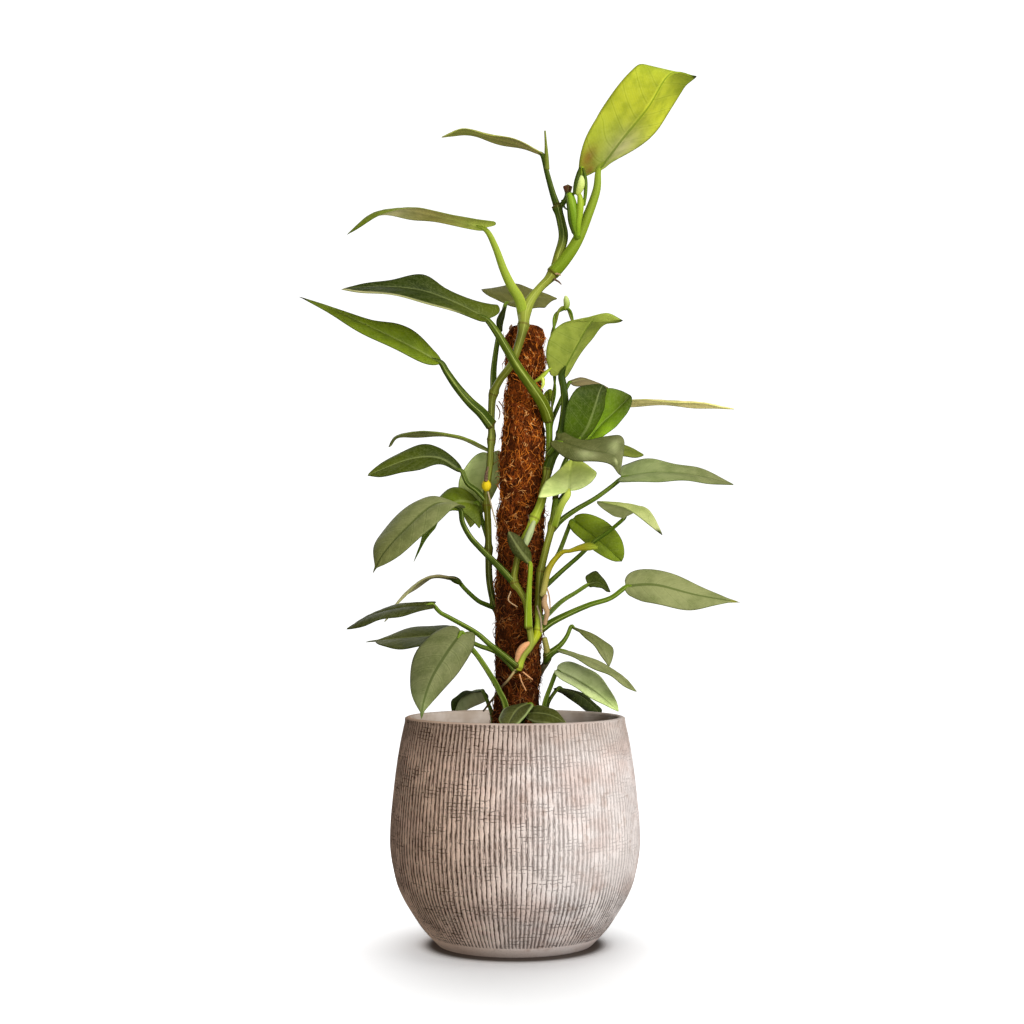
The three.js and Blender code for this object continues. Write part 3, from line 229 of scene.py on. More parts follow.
# Spikes and bracts that belong to a leaf.
LEAF_TRIFLES = {
    "leaf_dry": ("olive", [[30, -6, 716, 2.4], [29.4, -7, 728, 2.1], [28.8, -7, 740, 1.3],
        [28, -7, 752, 0.9]]),
    "leaf_back": ("forest_dark", [[-9.5, 23, 591, 1.2], [-12.5, 19, 582, 3.3],
        [-14.5, 17, 575, 3.4], [-13, 16, 567, 1.4]]),
    "leaf_left_9": ("forest", [[-50, 7, 329, 1.6], [-53, 6, 331.5, 3], [-57, 5, 333.5, 3],
        [-62, 3, 335.5, 1.2]]),
}
SHOOT_CURLED = [
    [33, -8, 484, 1.8], [35, -1, 498, 2], [37, 0, 514, 2.1], [36, 1, 537, 2.2], [35, 1, 556, 2.3],
    [36.5, 1, 570, 2.4], [39, 1, 581, 2.4], [45, 1, 586.5, 2.2], [50.5, 1, 584.5, 2.1],
    [54, 1, 573.5, 1.7],
]
SHOOT_CURLED_BUD = [[47, 1, 585, 1.8], [48.4, 1, 590, 3], [47.8, 1, 595, 2.6], [47.4, 1, 598, 1.2]]
SHEATH_BROWN = [
    [27, -31, 292, 1.6], [29, -34, 303, 2.4], [26.5, -35, 312, 2.6], [28, -36, 319, 1.4],
]
BRACT_STOPS = [(0, "tan"), (0.25, "yellow"), (0.6, "yellow"), (1, "leaf_lime")]
BRACT_YELLOW = [
    [25, -30, 318, 2.8], [31, -31, 343, 2.8], [42, -31, 357, 2.2], [50, -31, 359, 1.9],
    [60, -31, 362, 3], [68, -31, 363, 3.8], [75, -31, 362, 1.6],
]


def half_of(reach, widest, shape=0.5, lobe=0.03):
    """One side of a blade. It reaches from the midrib to its edge by a vector at its widest
    place, a share of the length. shape is one number for a plain outline, where less is rounder
    at the base, or five width shares from base to tip. lobe is how far it swings back past the
    stalk."""
    return {"reach": reach, "widest": widest, "shape": shape, "lobe": lobe}


def look_of(upper, under=None, stalk="stalk_dark stalk_green", rib=-0.4, tone=1, tip_from=0.91,
            **more):
    """A leaf's colours: shade names of its faces from base to tip and of its stalk from stem to
    blade. rib is how dark the midrib is, or how pale below 0, and tone brightens the blade. A tip
    shade starts at tip_from. margin and half are (side, shade): side -1 is the left half, 0 both.
    half paints that half paler as painted light on a folded half. spots are (share along, share
    across, size, shade)."""
    return {"upper": stops_of(upper), "under": stops_of(under or upper),
            "stalk": stalk.split(), "rib": rib, "tone": tone, "tip_from": tip_from, **more}


def stops_of(names):
    """Evenly spaced (place, shade name) stops; one name stands for the whole length."""
    words = names.split()
    return [(i / max(len(words) - 1, 1), name) for i, name in enumerate(words)]


def leaf_of(stalk, radii, rib, left, right, look, finish="leaf", taper=STALK_TAPER, twist=0,
            tail=0):
    """A leaf: points of its stalk from stem to blade, the stalk's radius at each end, points
    along its midrib from stalk to tip, its halves and its look. taper bends the change of radius:
    below 1 the stalk stays thick for longer. twist turns the blade by that many degrees from base
    to tip, and tail is the drip tip's share of the length."""
    return {"stalk": stalk, "radii": radii, "rib": rib, "left": half_of(*left),
            "right": half_of(*right), "look": look, "finish": finish, "taper": taper,
            "twist": twist, "tail": tail}


LEAVES = {
    "leaf_crown": leaf_of(
        [[35, -6, 618], [47, -6, 632], [58, -6, 649], [68, -6, 673], [76, -7, 696], [78, -8, 715]],
        [6.4, 2.6],
        [[78, -8, 715], [99, -26, 739], [122, -40, 765], [142, -44, 795], [167, -36, 795]],
        ([11, 32, -11], 0.5, [0.26, 0.74, 1.04, 1.12, 0.5], 0),
        ([-36, 16, 14], 0.46, [0.34, 0.82, 0.98, 0.82, 0.74], 0.16),
        look_of("lime", "leaf_lime lime leaf_lime", stalk="stalk_light young_stalk", rib=1,
        tone=1.1, tip="forest", tip_from=0.93, spots=[(0.15, 0.74, 3, "rust"),
        (0.06, 0.6, 3, "rust"), (0.2, -0.4, 9, "blush")]), finish="young", taper=0.7),
    "leaf_dry": leaf_of(
        [[39, -3, 683], [35, -3, 695], [30, -4, 713], [26, -5, 729]], [3.6, 2.4],
        [[26, -5, 730], [3, -10, 738], [-23, -16, 743], [-49, -22, 747], [-68, -26, 741]],
        ([3, -11, 0], 0.42, 0.5, 0), ([-1, 13, 0], 0.42, 0.5, 0),
        look_of("olive", "grey_olive olive", stalk="stalk_dark", tone=2.25), finish="dry"),
    "leaf_left_1": leaf_of(
        [[8, -14, 575], [4, -20, 591], [-4, -24, 604], [-11, -26, 619], [-18, -28, 638],
        [-26, -30, 653]], [5.4, 2.4],
        [[-27, -30, 656], [-64, -40, 663], [-100, -50, 668], [-129, -56, 664], [-152, -58, 644]],
        ([10, -13, -1], 0.4, [0.9, 0.85, 0.9, 0.7, 0.5], 0.08),
        ([8, 16, -5], 0.45, [0.42, 0.72, 1.05, 0.6, 0.45], 0.02),
        look_of("moss olive moss", "lime_grey tan blush avocado", stalk="young_stalk", rib=-0.2,
        tone=1.36), taper=0.9, twist=-45),
    "leaf_left_2": leaf_of(
        [[31, -10, 481], [26, -20, 493], [16, -29, 508], [4, -35, 524], [-7, -37, 542],
        [-16, -38, 557], [-25, -39, 569]], [5.6, 2.8],
        [[-25, -39, 570], [-55, -46, 584], [-86, -54, 594], [-122, -62, 596], [-156, -66, 593]],
        ([-1, -24, -13], 0.4, 0.6), ([2, 13, 17], 0.42, [1.08, 0.6, 0.92, 0.42, 0.2], 0.15),
        look_of("moss forest forest", "moss", stalk="moss stalk_dark", rib=-0.3, tone=0.74,
        tip="forest_dark", margin=(-1, "blush")), taper=0.7),
    "leaf_left_3": leaf_of(
        [[-22, -5, 476], [-31, -10, 487], [-42, -14, 497], [-54, -18, 511], [-63, -22, 524],
        [-68, -24, 532]], [5.4, 2.7],
        [[-69, -24, 532], [-96, -32, 546], [-132, -40, 563], [-166, -46, 578], [-196, -50, 589]],
        ([7, -10, -15], 0.36, 0.75, 0), ([-1, 9, 20], 0.2, [0.42, 0.86, 0.36, 0.14, 0.05], 0.05),
        look_of("avocado avocado moss", "olive", stalk="stalk_dark", tone=1.08, tip="forest_dark"),
        taper=1),
    "leaf_back": leaf_of(
        [[-20, -3, 509], [-20, 6, 529], [-17, 14, 554], [-13, 20, 576], [-9, 26, 594]], [3.4, 2],
        [[-9, 27, 595], [15, 62, 607], [42, 95, 611]],
        ([-19, 29, 19], 0.3, [0.98, 0.96, 0.9, 0.7, 0.4], 0.2),
        ([12, -28, -15], 0.45, [0.4, 0.85, 1, 0.6, 0.22], 0),
        look_of("grey_olive", "taupe", tone=1.24)),
    "leaf_right_1": leaf_of(
        [[30, -15, 434], [34, -15, 445], [40, -15, 459], [44, -14, 476], [46, -14, 494],
        [45, -14, 510], [43, -14, 522]], [4.6, 3.2],
        [[43, -14, 523], [57, -32, 547], [69, -48, 566], [82, -58, 573], [97, -64, 565]],
        ([1, 34, -11], 0.36, 0.5, 0.02), ([-34, 22, -5], 0.42, [0.4, 0.85, 1, 0.95, 0.7], 0.05),
        look_of("lime_grey", stalk="stalk_dark", rib=1, tip="forest", tip_from=0.94), taper=1),
    "leaf_right_2": leaf_of(
        [[33, -8, 478], [39, 3, 492], [46, 9, 508], [51, 14, 518]], [2.2, 1.8],
        [[51, 14, 518], [67, 30, 522], [89, 52, 518]],
        ([-3, 12, 3], 0.4, 0.5, 0.05), ([8, -8, -6], 0.4, 0.5, 0.05),
        look_of("taupe", tone=1.3)),
    "leaf_right_3": leaf_of(
        [[32, -10, 438], [37, -6, 448], [43, -4, 456], [50, -3, 460], [58, -3, 462]], [2.8, 2.2],
        [[58, -3, 462], [67, -8, 475], [74, -10, 494], [78, -6, 507], [82, 4, 515]],
        ([-25, -17, 2], 0.45, 0.5, 0.04), ([8, 9, -2], 0.45, 0.5, 0.04),
        look_of("green forest", "green fresh", rib=-0.35, tone=0.75)),
    "leaf_right_4": leaf_of(
        [[31, -10, 452], [36, 4, 453], [46, 14, 456], [58, 18, 460], [69, 18, 465]], [2.6, 2.2],
        [[69, 18, 465], [81, 14, 479], [94, 12, 491], [109, 14, 506]],
        ([-9, -6, 19], 0.45, [0.5, 0.85, 1.1, 1.05, 0.55], 0.04), ([8, -7, -8], 0.45, 0.5, 0.04),
        look_of("fresh forest", "fresh olive", rib=-0.3, tone=1.65)),
    "leaf_right_5": leaf_of(
        [[37, -13, 407], [40, 8, 422], [47, 32, 444], [64, 42, 476], [85, 32, 498]], [2.8, 2],
        [[86, 33, 499], [128, 30, 501], [174, 22, 499], [206, 12, 493]],
        ([-15, 20, -1], 0.4), ([-15, -16, 0], 0.4),
        look_of("tan straw", "straw", rib=0.2, tone=1.2)),
    "leaf_right_6": leaf_of(
        [[30, -18, 448], [34, -22, 453], [38, -25, 458]], [2.8, 2.4],
        [[39, -24, 461], [62, -42, 451], [89, -61, 443], [93, -76, 425]],
        ([7, 24, 21], 0.55, [0.5, 0.35, 0.78, 0.95, 0.8], 0.12),
        ([-10, -7, -10], 0.42, [0.6, 1, 0.95, 0.6, 0.3], 0.1),
        look_of("sage silver", rib=0.4, tone=0.77, spots=[(0.4, 0.5, 5, "silver_bright"),
        (0.62, -0.4, 4, "silver_bright"), (0.75, 0.3, 3, "silver_bright")])),
    "leaf_right_7": leaf_of(
        [[37, -13, 402], [45, 0, 411], [53, 16, 428], [58, 25, 444], [59, 31, 456]], [2.4, 2],
        [[59, 31, 457], [92, 24, 459], [121, 14, 450]],
        ([-3, 17, 7], 0.4, 0.5, 0.04), ([-2, -15, -10], 0.4, 0.5, 0.04),
        look_of("sage olive", "sage", rib=0.4, tone=1.18)),
    "leaf_right_8": leaf_of(
        [[36, -19, 382], [39, -27, 392], [43, -34, 402], [48, -37, 410]], [3.4, 3],
        [[49, -36, 413], [51, -18, 430], [54, -2, 447]],
        ([-39, -6, -4], 0.15, [0.72, 0.63, 0.42, 0.26, 0.12], 0.2),
        ([24, -6, 0], 0.4, [0.5, 0.85, 1, 0.72, 0.33], 0),
        look_of("bud lime_pale", stalk="stalk_light lime_pale", rib=0.3, tone=1.2)),
    "leaf_right_9": leaf_of(
        [[34, -17, 378], [43, -12, 388], [57, -10, 398], [74, -8, 408], [89, -4, 419],
        [99, 0, 427]], [2.8, 2],
        [[99, 0, 428], [130, -6, 432], [166, -14, 429], [201, -20, 420]],
        ([-1, 20, 14], 0.2, [0.9, 1, 0.75, 0.62, 0.35], 0.06), ([-5, -23, -9], 0.32, 0.42, 0.06),
        look_of("silver_pale silver", rib=0.5, tone=0.88)),
    "leaf_right_10": leaf_of(
        [[24, -24, 324], [31, -22, 330], [43, -20, 341], [58, -18, 354], [73, -16, 368],
        [87, -14, 378], [100, -12, 389]], [2.8, 1.8],
        [[100, -12, 390], [107, -45, 398], [118, -75, 394], [129, -95, 371]],
        ([3, 22, -3], 0.38, [0.35, 0.85, 0.95, 0.6, 0.3], 0.02),
        ([-35, -4, 4], 0.38, [0.4, 0.9, 0.95, 0.62, 0.25], 0.02),
        look_of("olive silver", "silver", tone=2.2, tip="forest_dark")),
    "leaf_right_11": leaf_of(
        [[25, -20, 338], [31, -13, 344], [39, -6, 355], [44, 0, 366], [49, 3, 379], [53, 4, 388]],
        [2.6, 2],
        [[53, 4, 389], [67, 0, 378], [83, -2, 365], [99, 2, 350]],
        ([11, -4, 14], 0.48, 0.5, 0.02), ([-14, -4, -2], 0.55, 0.5, 0),
        look_of("avocado", rib=0.5, tone=1.13)),
    "leaf_right_12": leaf_of(
        [[23, -20, 294], [31, -14, 302], [43, -8, 313], [56, -2, 321], [67, 4, 328]], [3, 1.8],
        [[68, 4, 328], [78, 18, 330], [90, 32, 322]],
        ([0, 8, 11], 0.36, [0.8, 1, 0.92, 0.7, 0.4], 0.2), ([0, -11, -4], 0.42, 0.45, 0),
        look_of("avocado", "avocado moss", tone=0.36)),
    "leaf_right_13": leaf_of(
        [[24, -22, 287], [34, -18, 294], [50, -15, 302], [69, -12, 310], [88, -9, 316],
        [102, -6, 326]], [3.4, 2.2],
        [[102, -6, 327], [129, -14, 328], [165, -22, 319], [205, -28, 312]],
        ([0, 14, 15], 0.3, 0.45), ([-3, -5, -17], 0.4, [0.55, 0.96, 1, 0.82, 0.34], 0.02),
        look_of("silver", rib=0.9, tone=1.2, tip="olive_tan"), tail=0.05),
    "leaf_right_14": leaf_of(
        [[28, -9, 262], [33, -8, 266], [42, -6, 273], [48, -4, 281], [52, -2, 290]], [3.4, 1.8],
        [[52, -2, 290], [67, -8, 281], [79, -14, 269], [86, -17, 253]],
        ([10, 13, 2], 0.65, [0.16, 0.5, 0.86, 1, 0.62], 0),
        ([-5, -9, 0], 0.5, [0.2, 0.66, 0.95, 0.8, 0.4], 0),
        look_of("sage silver", "silver", rib=0.4)),
    "leaf_right_15": leaf_of(
        [[28, -6, 257], [30, -12, 260], [36, -14, 266], [42, -14, 268]], [2.6, 1.8],
        [[42, -14, 268], [68, -32, 258], [93, -44, 246], [109, -48, 232]],
        ([-2, 17, 4], 0.45), ([-12, -11, 2], 0.45),
        look_of("silver", rib=0.4, tone=1.08)),
    "leaf_right_16": leaf_of(
        [[26, -15, 165], [26, -15, 203], [27, -15, 219], [33, -14, 236], [38, -14, 248]], [2.8, 2],
        [[38, -14, 250], [57, -26, 241], [77, -36, 228], [93, -42, 214]],
        ([1, 19, 16], 0.5, 0.5, 0), ([-10, -6, -2], 0.4, 0.6, 0.02),
        look_of("silver_fold silver_pale", rib=0.5, tone=1.85)),
    "leaf_right_17": leaf_of(
        [[29, 6, 165], [29, 6, 201], [30, 8, 216], [34, 14, 224], [41, 22, 232]], [2.2, 1.7],
        [[41, 22, 232], [60, 62, 224], [77, 98, 210], [84, 116, 200]],
        ([6, 15, -1], 0.45), ([-15, -25, 1], 0.45),
        look_of("forest_dark forest", "green")),
    "leaf_left_4": leaf_of(
        [[-22, -5, 440], [-22, 4, 448], [-25, 9, 454]], [2.4, 1.8],
        [[-25, 9, 454], [-52, 14, 466], [-85, 18, 470], [-110, 20, 468], [-119, 21, 458]],
        ([2, -14, 0], 0.42), ([1, 13, -1], 0.42),
        look_of("olive sage_dark", "sage", tone=2.1)),
    "leaf_left_5": leaf_of(
        [[-25, -6, 404], [-35, -8, 415], [-44, -8, 422], [-49, -8, 433]], [2.6, 2.2],
        [[-50, -8, 433], [-71, -14, 445], [-98, -20, 443], [-135, -26, 428]],
        ([-4, -16, -15], 0.5, [0.16, 0.34, 0.8, 0.86, 0.5], 0.02), ([0, 10, 12], 0.46, 0.6, 0.05),
        look_of("forest moss", "olive", stalk="stalk_dark", tone=0.66)),
    "leaf_left_6": leaf_of(
        [[-21, -4, 472], [-20, 10, 467], [-22, 20, 459], [-24, 25, 451]], [2.4, 2],
        [[-24, 25, 451], [-31, 28, 418], [-42, 22, 382]],
        ([17, 6, 9], 0.38, 0.5, 0.06), ([-21, -12, 9], 0.45, 0.8, 0.06),
        look_of("silver_pale olive", "olive", rib=-0.6, tone=1.8)),
    "leaf_left_7": leaf_of(
        [[-1, -28, 330], [-12, -29, 342], [-23, -27, 353], [-32, -25, 362], [-41, -24, 372],
        [-48, -23, 385], [-50, -22, 397]], [3.6, 2.4],
        [[-50, -22, 399], [-72, -40, 401], [-97, -58, 379], [-117, -66, 356], [-127, -66, 338]],
        ([20, -8, -3], 0.46, 0.7), ([-9, 20, 13], 0.42, [0.45, 0.62, 0.95, 1.02, 0.72]),
        look_of("silver sage", stalk="stalk_dark", rib=0.8, tone=1.05), tail=0.08),
    "leaf_left_8": leaf_of(
        [[-23, -1, 359], [-26, 1, 373], [-31, 3, 389], [-34, 4, 404]], [2.6, 2],
        [[-34, 4, 404], [-56, -4, 404], [-79, -8, 379], [-94, -6, 349]],
        ([2, -12, -24], 0.12, [1, 0.5, 0.12, 0.15, 0.1], 0.08), ([-7, 12, 14], 0.3, 0.6),
        look_of("moss green", "green fresh", tone=1.06), tail=0.12),
    "leaf_left_9": leaf_of(
        [[-19, 16, 307], [-27, 13, 310], [-35, 9, 314], [-46, 8, 324], [-54, 8, 333]], [2.6, 2],
        [[-54, 8, 333], [-77, -2, 335], [-101, -10, 320], [-120, -16, 294]],
        ([3, -13, 1], 0.4), ([1, 17, -1], 0.4),
        look_of("taupe blush", rib=0.4, tone=1.28)),
    "leaf_left_10": leaf_of(
        [[2, -30, 254], [-9, -31, 263], [-23, -30, 274], [-36, -29, 285], [-59, -30, 298],
        [-68, -31, 303], [-75, -31, 310]], [3.2, 1.9],
        [[-75, -31, 310], [-104, -40, 307], [-131, -45, 300], [-152, -46, 288]],
        ([10, -16, -5], 0.4), ([10, 17, 5], 0.4),
        look_of("sage_dark", "sage", rib=0.3)),
    "leaf_left_11": leaf_of(
        [[1, -25, 249], [-7, -22, 258], [-18, -18, 267], [-32, -15, 272], [-43, -14, 277]], [3, 2],
        [[-43, -14, 279], [-69, -6, 281], [-102, 6, 279], [-140, 18, 275]],
        ([-12, -18, -10], 0.5, 0.8, 0), ([0, 18, 10], 0.4, 0.7, 0),
        look_of("forest sage", "olive", tone=0.9), tail=0.1),
    "leaf_left_12": leaf_of(
        [[-8, -31, 165], [-8, -30, 213], [-15, -32, 233], [-24, -36, 249], [-34, -39, 264],
        [-43, -40, 275], [-48, -41, 285]], [3.2, 2.2],
        [[-48, -41, 285], [-61, -60, 267], [-74, -70, 245], [-81, -74, 224], [-83, -74, 209]],
        ([23, 15, 2], 0.34, [0.62, 0.98, 0.96, 0.62, 0.25]), ([-19, 18, 14], 0.4, 0.6, 0.06),
        look_of("silver silver silver_pale", rib=0.9, tone=0.74), tail=0.1),
    # Its left half is painted paler: painted light on a fold.
    "leaf_left_13": leaf_of(
        [[-21, 16, 165], [-21, 17, 203], [-25, 23, 217], [-30, 33, 228]], [2.4, 1.8],
        [[-30, 34, 229], [-41, 74, 226], [-54, 106, 217], [-61, 124, 200]],
        ([10, -7, -11], 0.4, 0.5, 0.05), ([-9, -1, -1], 0.4, 0.6, 0.05),
        look_of("green", "green fresh", tone=0.6, half=(-1, "painted_lit_fold"))),
    "leaf_front_1": leaf_of(
        [[12, -30, 289], [12, -33, 310], [13, -35, 328], [14, -36, 346]], [3.8, 2],
        [[14, -36, 347], [4, -41, 360], [-6, -46, 376]],
        ([-7, 3, -1], 0.42, 0.6, 0), ([5, 7, 6], 0.42, 0.6, 0),
        look_of("olive sage", stalk="stalk_light", tone=0.38), finish="young"),
    "leaf_front_2": leaf_of(
        [[17, -28, 165], [17, -29, 205], [15, -34, 219]], [2.4, 2],
        [[13, -36, 221], [3, -50, 217], [-3, -62, 210], [-7, -72, 202]],
        ([9, -6, -4], 0.45, 0.6, 0.04), ([-11, 9, 1], 0.55, 0.6, 0),
        look_of("sage_dark sage", "silver", tone=0.7, margin=(0, "silver_pale"))),
    "leaf_front_3": leaf_of(
        [[5, -32, 165], [6, -33, 200], [9, -40, 210]], [2.4, 2],
        [[11, -42, 212], [22, -55, 213], [34, -64, 211], [45, -70, 205]],
        ([0, 16, 6], 0.42), ([-5, -16, -7], 0.42),
        look_of("sage_dark", "sage", tone=1.4, margin=(0, "silver"))),
    "leaf_scrap": leaf_of(
        [[32, -9, 485], [31, -2, 492], [32, 4, 498]], [1.6, 1.3],
        [[32, 4, 498], [31, 7, 504], [30, 10, 510]],
        ([-4, -2, -2], 0.45, 0.5, 0), ([4, 2, 5], 0.45, 0.5, 0),
        look_of("moss", tone=2.3)),
}


def linear(hex_colour):
    """An sRGB hex colour as linear red, green, blue and 1."""
    parts = [int(hex_colour[i:i + 2], 16) / 255 for i in (1, 3, 5)]
    return (*(c / 12.92 if c <= 0.04045 else ((c + 0.055) / 1.055) ** 2.4 for c in parts), 1.0)


def shade(name):
    return np.array(linear(SHADES[name])[:3])


def mix(a, b, t):
    return a + (b - a) * t


def ease(t):
    t = min(max(t, 0), 1)
    return t * t * (3 - 2 * t)


def bell(distance, width):
    return math.exp(-((distance / width) ** 2))


def between(place, pairs):
    """A value between the places of (place, value) pairs, eased from one to the next."""
    if place <= pairs[0][0]:
        return pairs[0][1]
    for (near, low), (far, high) in zip(pairs, pairs[1:]):
        if place <= far:
            return mix(low, high, ease((place - near) / (far - near)))
    return pairs[-1][1]


def smooth(place, pairs):
    """A value on the smooth curve through (place, value) pairs."""
    if place >= pairs[-1][0]:
        return pairs[-1][1]
    last = len(pairs) - 1
    i = max([j for j in range(last) if pairs[j][0] <= place], default=0)

    def slope(j):
        (before, low), (after, high) = pairs[max(j - 1, 0)], pairs[min(j + 1, last)]
        return (high - low) / (after - before)

    (near, low), (far, high) = pairs[i], pairs[i + 1]
    span = far - near
    t = min(max((place - near) / span, 0), 1)
    level = (2 * t ** 3 - 3 * t ** 2 + 1) * low + (3 * t ** 2 - 2 * t ** 3) * high
    bend = (t ** 3 - 2 * t ** 2 + t) * slope(i) + (t ** 3 - t ** 2) * slope(i + 1)
    return level + bend * span


def blend_shades(place, stops):
    """The colour at a place from (place, shade name) stops."""
    return between(place, [(at, shade(name)) for at, name in stops])


LENGTH_STEPS = 60


class Path:
    """A smooth curve through points, run by 0 to 1 evenly in the points' own numbering."""

    def __init__(self, points):
        self.points = [np.array(p, float) for p in points]

    def at(self, t):
        points = self.points
        place = min(max(t, 0), 1) * (len(points) - 1)
        i = min(int(place), len(points) - 2)
        w = place - i
        b, c = points[i], points[i + 1]
        a = points[i - 1] if i > 0 else 2 * b - c
        d = points[i + 2] if i + 2 < len(points) else 2 * c - b
        out, into = (c - a) / 2, (d - b) / 2
        square, cube = 3 * (c - b) - 2 * out - into, 2 * (b - c) + out + into
        return b + out * w + square * w * w + cube * w ** 3

    def along(self, t):
        step = self.at(min(t + 1e-4, 1)) - self.at(max(t - 1e-4, 0))
        return step[:3] / np.linalg.norm(step[:3])

    def length(self):
        steps = [self.at(i / LENGTH_STEPS)[:3] for i in range(LENGTH_STEPS + 1)]
        return sum(np.linalg.norm(b - a) for a, b in zip(steps, steps[1:]))


class Shape:
    """Points in millimetres, faces and per-point values that become one mesh object. A tint may
    have a fourth value: the distance to a blade's edge, or the strength of a painted highlight."""

    def __init__(self):
        self.points = []
        self.faces = []
        self.slots = []
        self.tint = []
        self.place = []
        self.mark = []

    def point(self, place, tint, where=(0, 0, 0), mark=0.0):
        self.points.append(tuple(place))
        self.tint.append((*tint, 0.0)[:4])
        self.place.append(tuple(where))
        self.mark.append(mark)
        return len(self.points) - 1

    def face(self, corners, slot=0):
        kept = [c for i, c in enumerate(corners) if c != corners[i - 1]]
        if len(set(kept)) >= 3:
            self.faces.append(kept)
            self.slots.append(slot)

    def rings(self, rings, slot=0):
        """Joins rings of equal count; a ring of one point closes an end."""
        for near, far in zip(rings, rings[1:]):
            count = max(len(near), len(far))
            for i in range(count):
                j = (i + 1) % count
                a, b = near[i % len(near)], near[j % len(near)]
                c, d = far[i % len(far)], far[j % len(far)]
                self.face([a, b, d, c], slot)

    def plain(self, name, *materials, smooth=False):
        """The mesh alone."""
        mesh = bpy.data.meshes.new(name)
        mesh.from_pydata([tuple(c * MM for c in p) for p in self.points], [], self.faces)
        for material in materials:
            mesh.materials.append(material)
        mesh.polygons.foreach_set("use_smooth", [smooth] * len(self.faces))
        return mesh

    def piece(self, name, materials, replaced, slot):
        mesh = self.plain(name, *materials, smooth=True)
        mesh.polygons.foreach_set("material_index", self.slots)
        for key, kind, field, values in (
            ("tint", "FLOAT_COLOR", "color", self.tint),
            ("place", "FLOAT_VECTOR", "vector", self.place),
            ("mark", "FLOAT", "value", self.mark),
        ):
            attribute = mesh.attributes.new(key, kind, "POINT")
            attribute.data.foreach_set(field, np.array(values, np.float32).ravel())
        mesh.validate()
        adopt(bpy.data.objects.new(name, mesh), replaced, slot)


def home(name):
    """The collection of that name, for the lights that reach only part of the scene."""
    if name not in bpy.data.collections:
        bpy.context.scene.collection.children.link(bpy.data.collections.new(name))
    return bpy.data.collections[name]


def adopt(piece, replaced, slot):
    """Shows a piece, lets it ride on the body and hides the imported nodes that it stands for."""
    home(slot if slot in ("pot", "soil") else "plant").objects.link(piece)
    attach(piece, BODY)
    if replaced:
        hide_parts(*replaced)


def add_rod(shape, path, sides, step, tint, slot=0, radius=None, mark=None, side_at=(0, -1, 0)):
    """A rod along points [x, y, z, radius]. radius(t, turn, centre, plain) shapes it further."""
    curve = Path(path)
    steps = max(4, round(curve.length() / step))
    across = np.array(side_at, float)
    rings = []
    run = 0.0
    before = None
    for s in range(steps + 1):
        t = s / steps
        *centre, plain = curve.at(t)
        centre = np.array(centre)
        run += 0 if before is None else np.linalg.norm(centre - before)
        before = centre
        along = curve.along(t)
        across = across - across.dot(along) * along
        across /= np.linalg.norm(across)
        other = np.cross(along, across)
        ring = []
        for k in range(sides):
            turn = 2 * math.pi * k / sides
            r = radius(t, turn, centre, plain) if radius else plain
            out = across * math.cos(turn) + other * math.sin(turn)
            value = mark(t, centre) if mark else 0.0
            ring.append(shape.point(centre + out * r, tint(t, centre),
                                    (run, math.cos(turn), math.sin(turn)), value))
        rings.append(ring)
    first, last = curve.at(0), curve.at(1)
    start = shape.point(first[:3] - curve.along(0) * first[3] * 0.5, tint(0, first))
    end = shape.point(last[:3] + curve.along(1) * last[3] * 0.5, tint(1, last), (run, 0, 0))
    shape.rings([[start], *rings, [end]], slot)


# Materials.
MIX_A, MIX_B, MIX_OUT = 6, 7, 2


def add(tree, kind, inputs=None, **settings):
    """Adds one node with its settings. An input is a number, a colour or a socket to link."""
    made = tree.nodes.new(kind)
    for key, value in settings.items():
        setattr(made, key, value)
    for key, value in (inputs or {}).items():
        value = getattr(value, "socket", value)
        if isinstance(value, bpy.types.NodeSocket):
            tree.links.new(value, made.inputs[key])
        else:
            made.inputs[key].default_value = linear(value) if isinstance(value, str) else value
    return made


class Value:
    """What comes out of a material's node. Arithmetic on it adds the math nodes it needs."""

    def __init__(self, tree, socket):
        self.tree = tree
        self.socket = socket

    def math(self, operation, *others):
        inputs = dict(enumerate((self, *others)))
        made = add(self.tree, "ShaderNodeMath", inputs, operation=operation)
        return Value(self.tree, made.outputs[0])

    def __add__(self, other):
        return self.math("ADD", other)

    def __sub__(self, other):
        return self.math("SUBTRACT", other)

    def __mul__(self, other):
        return self.math("MULTIPLY", other)

    def __truediv__(self, other):
        return self.math("DIVIDE", other)

    def __abs__(self):
        return self.math("ABSOLUTE")

    def most(self, other):
        return self.math("MAXIMUM", other)

    def pingpong(self):
        """Up and down between 0 and a half, once for each whole number."""
        return self.math("PINGPONG", 0.5)

    def ramp(self, low, high, out_low=0.0, out_high=1.0):
        """The value from low to high, eased and clamped."""
        inputs = {"Value": self, "From Min": low, "From Max": high,
                  "To Min": out_low, "To Max": out_high}
        made = add(self.tree, "ShaderNodeMapRange", inputs, interpolation_type="SMOOTHSTEP")
        return Value(self.tree, made.outputs["Result"])


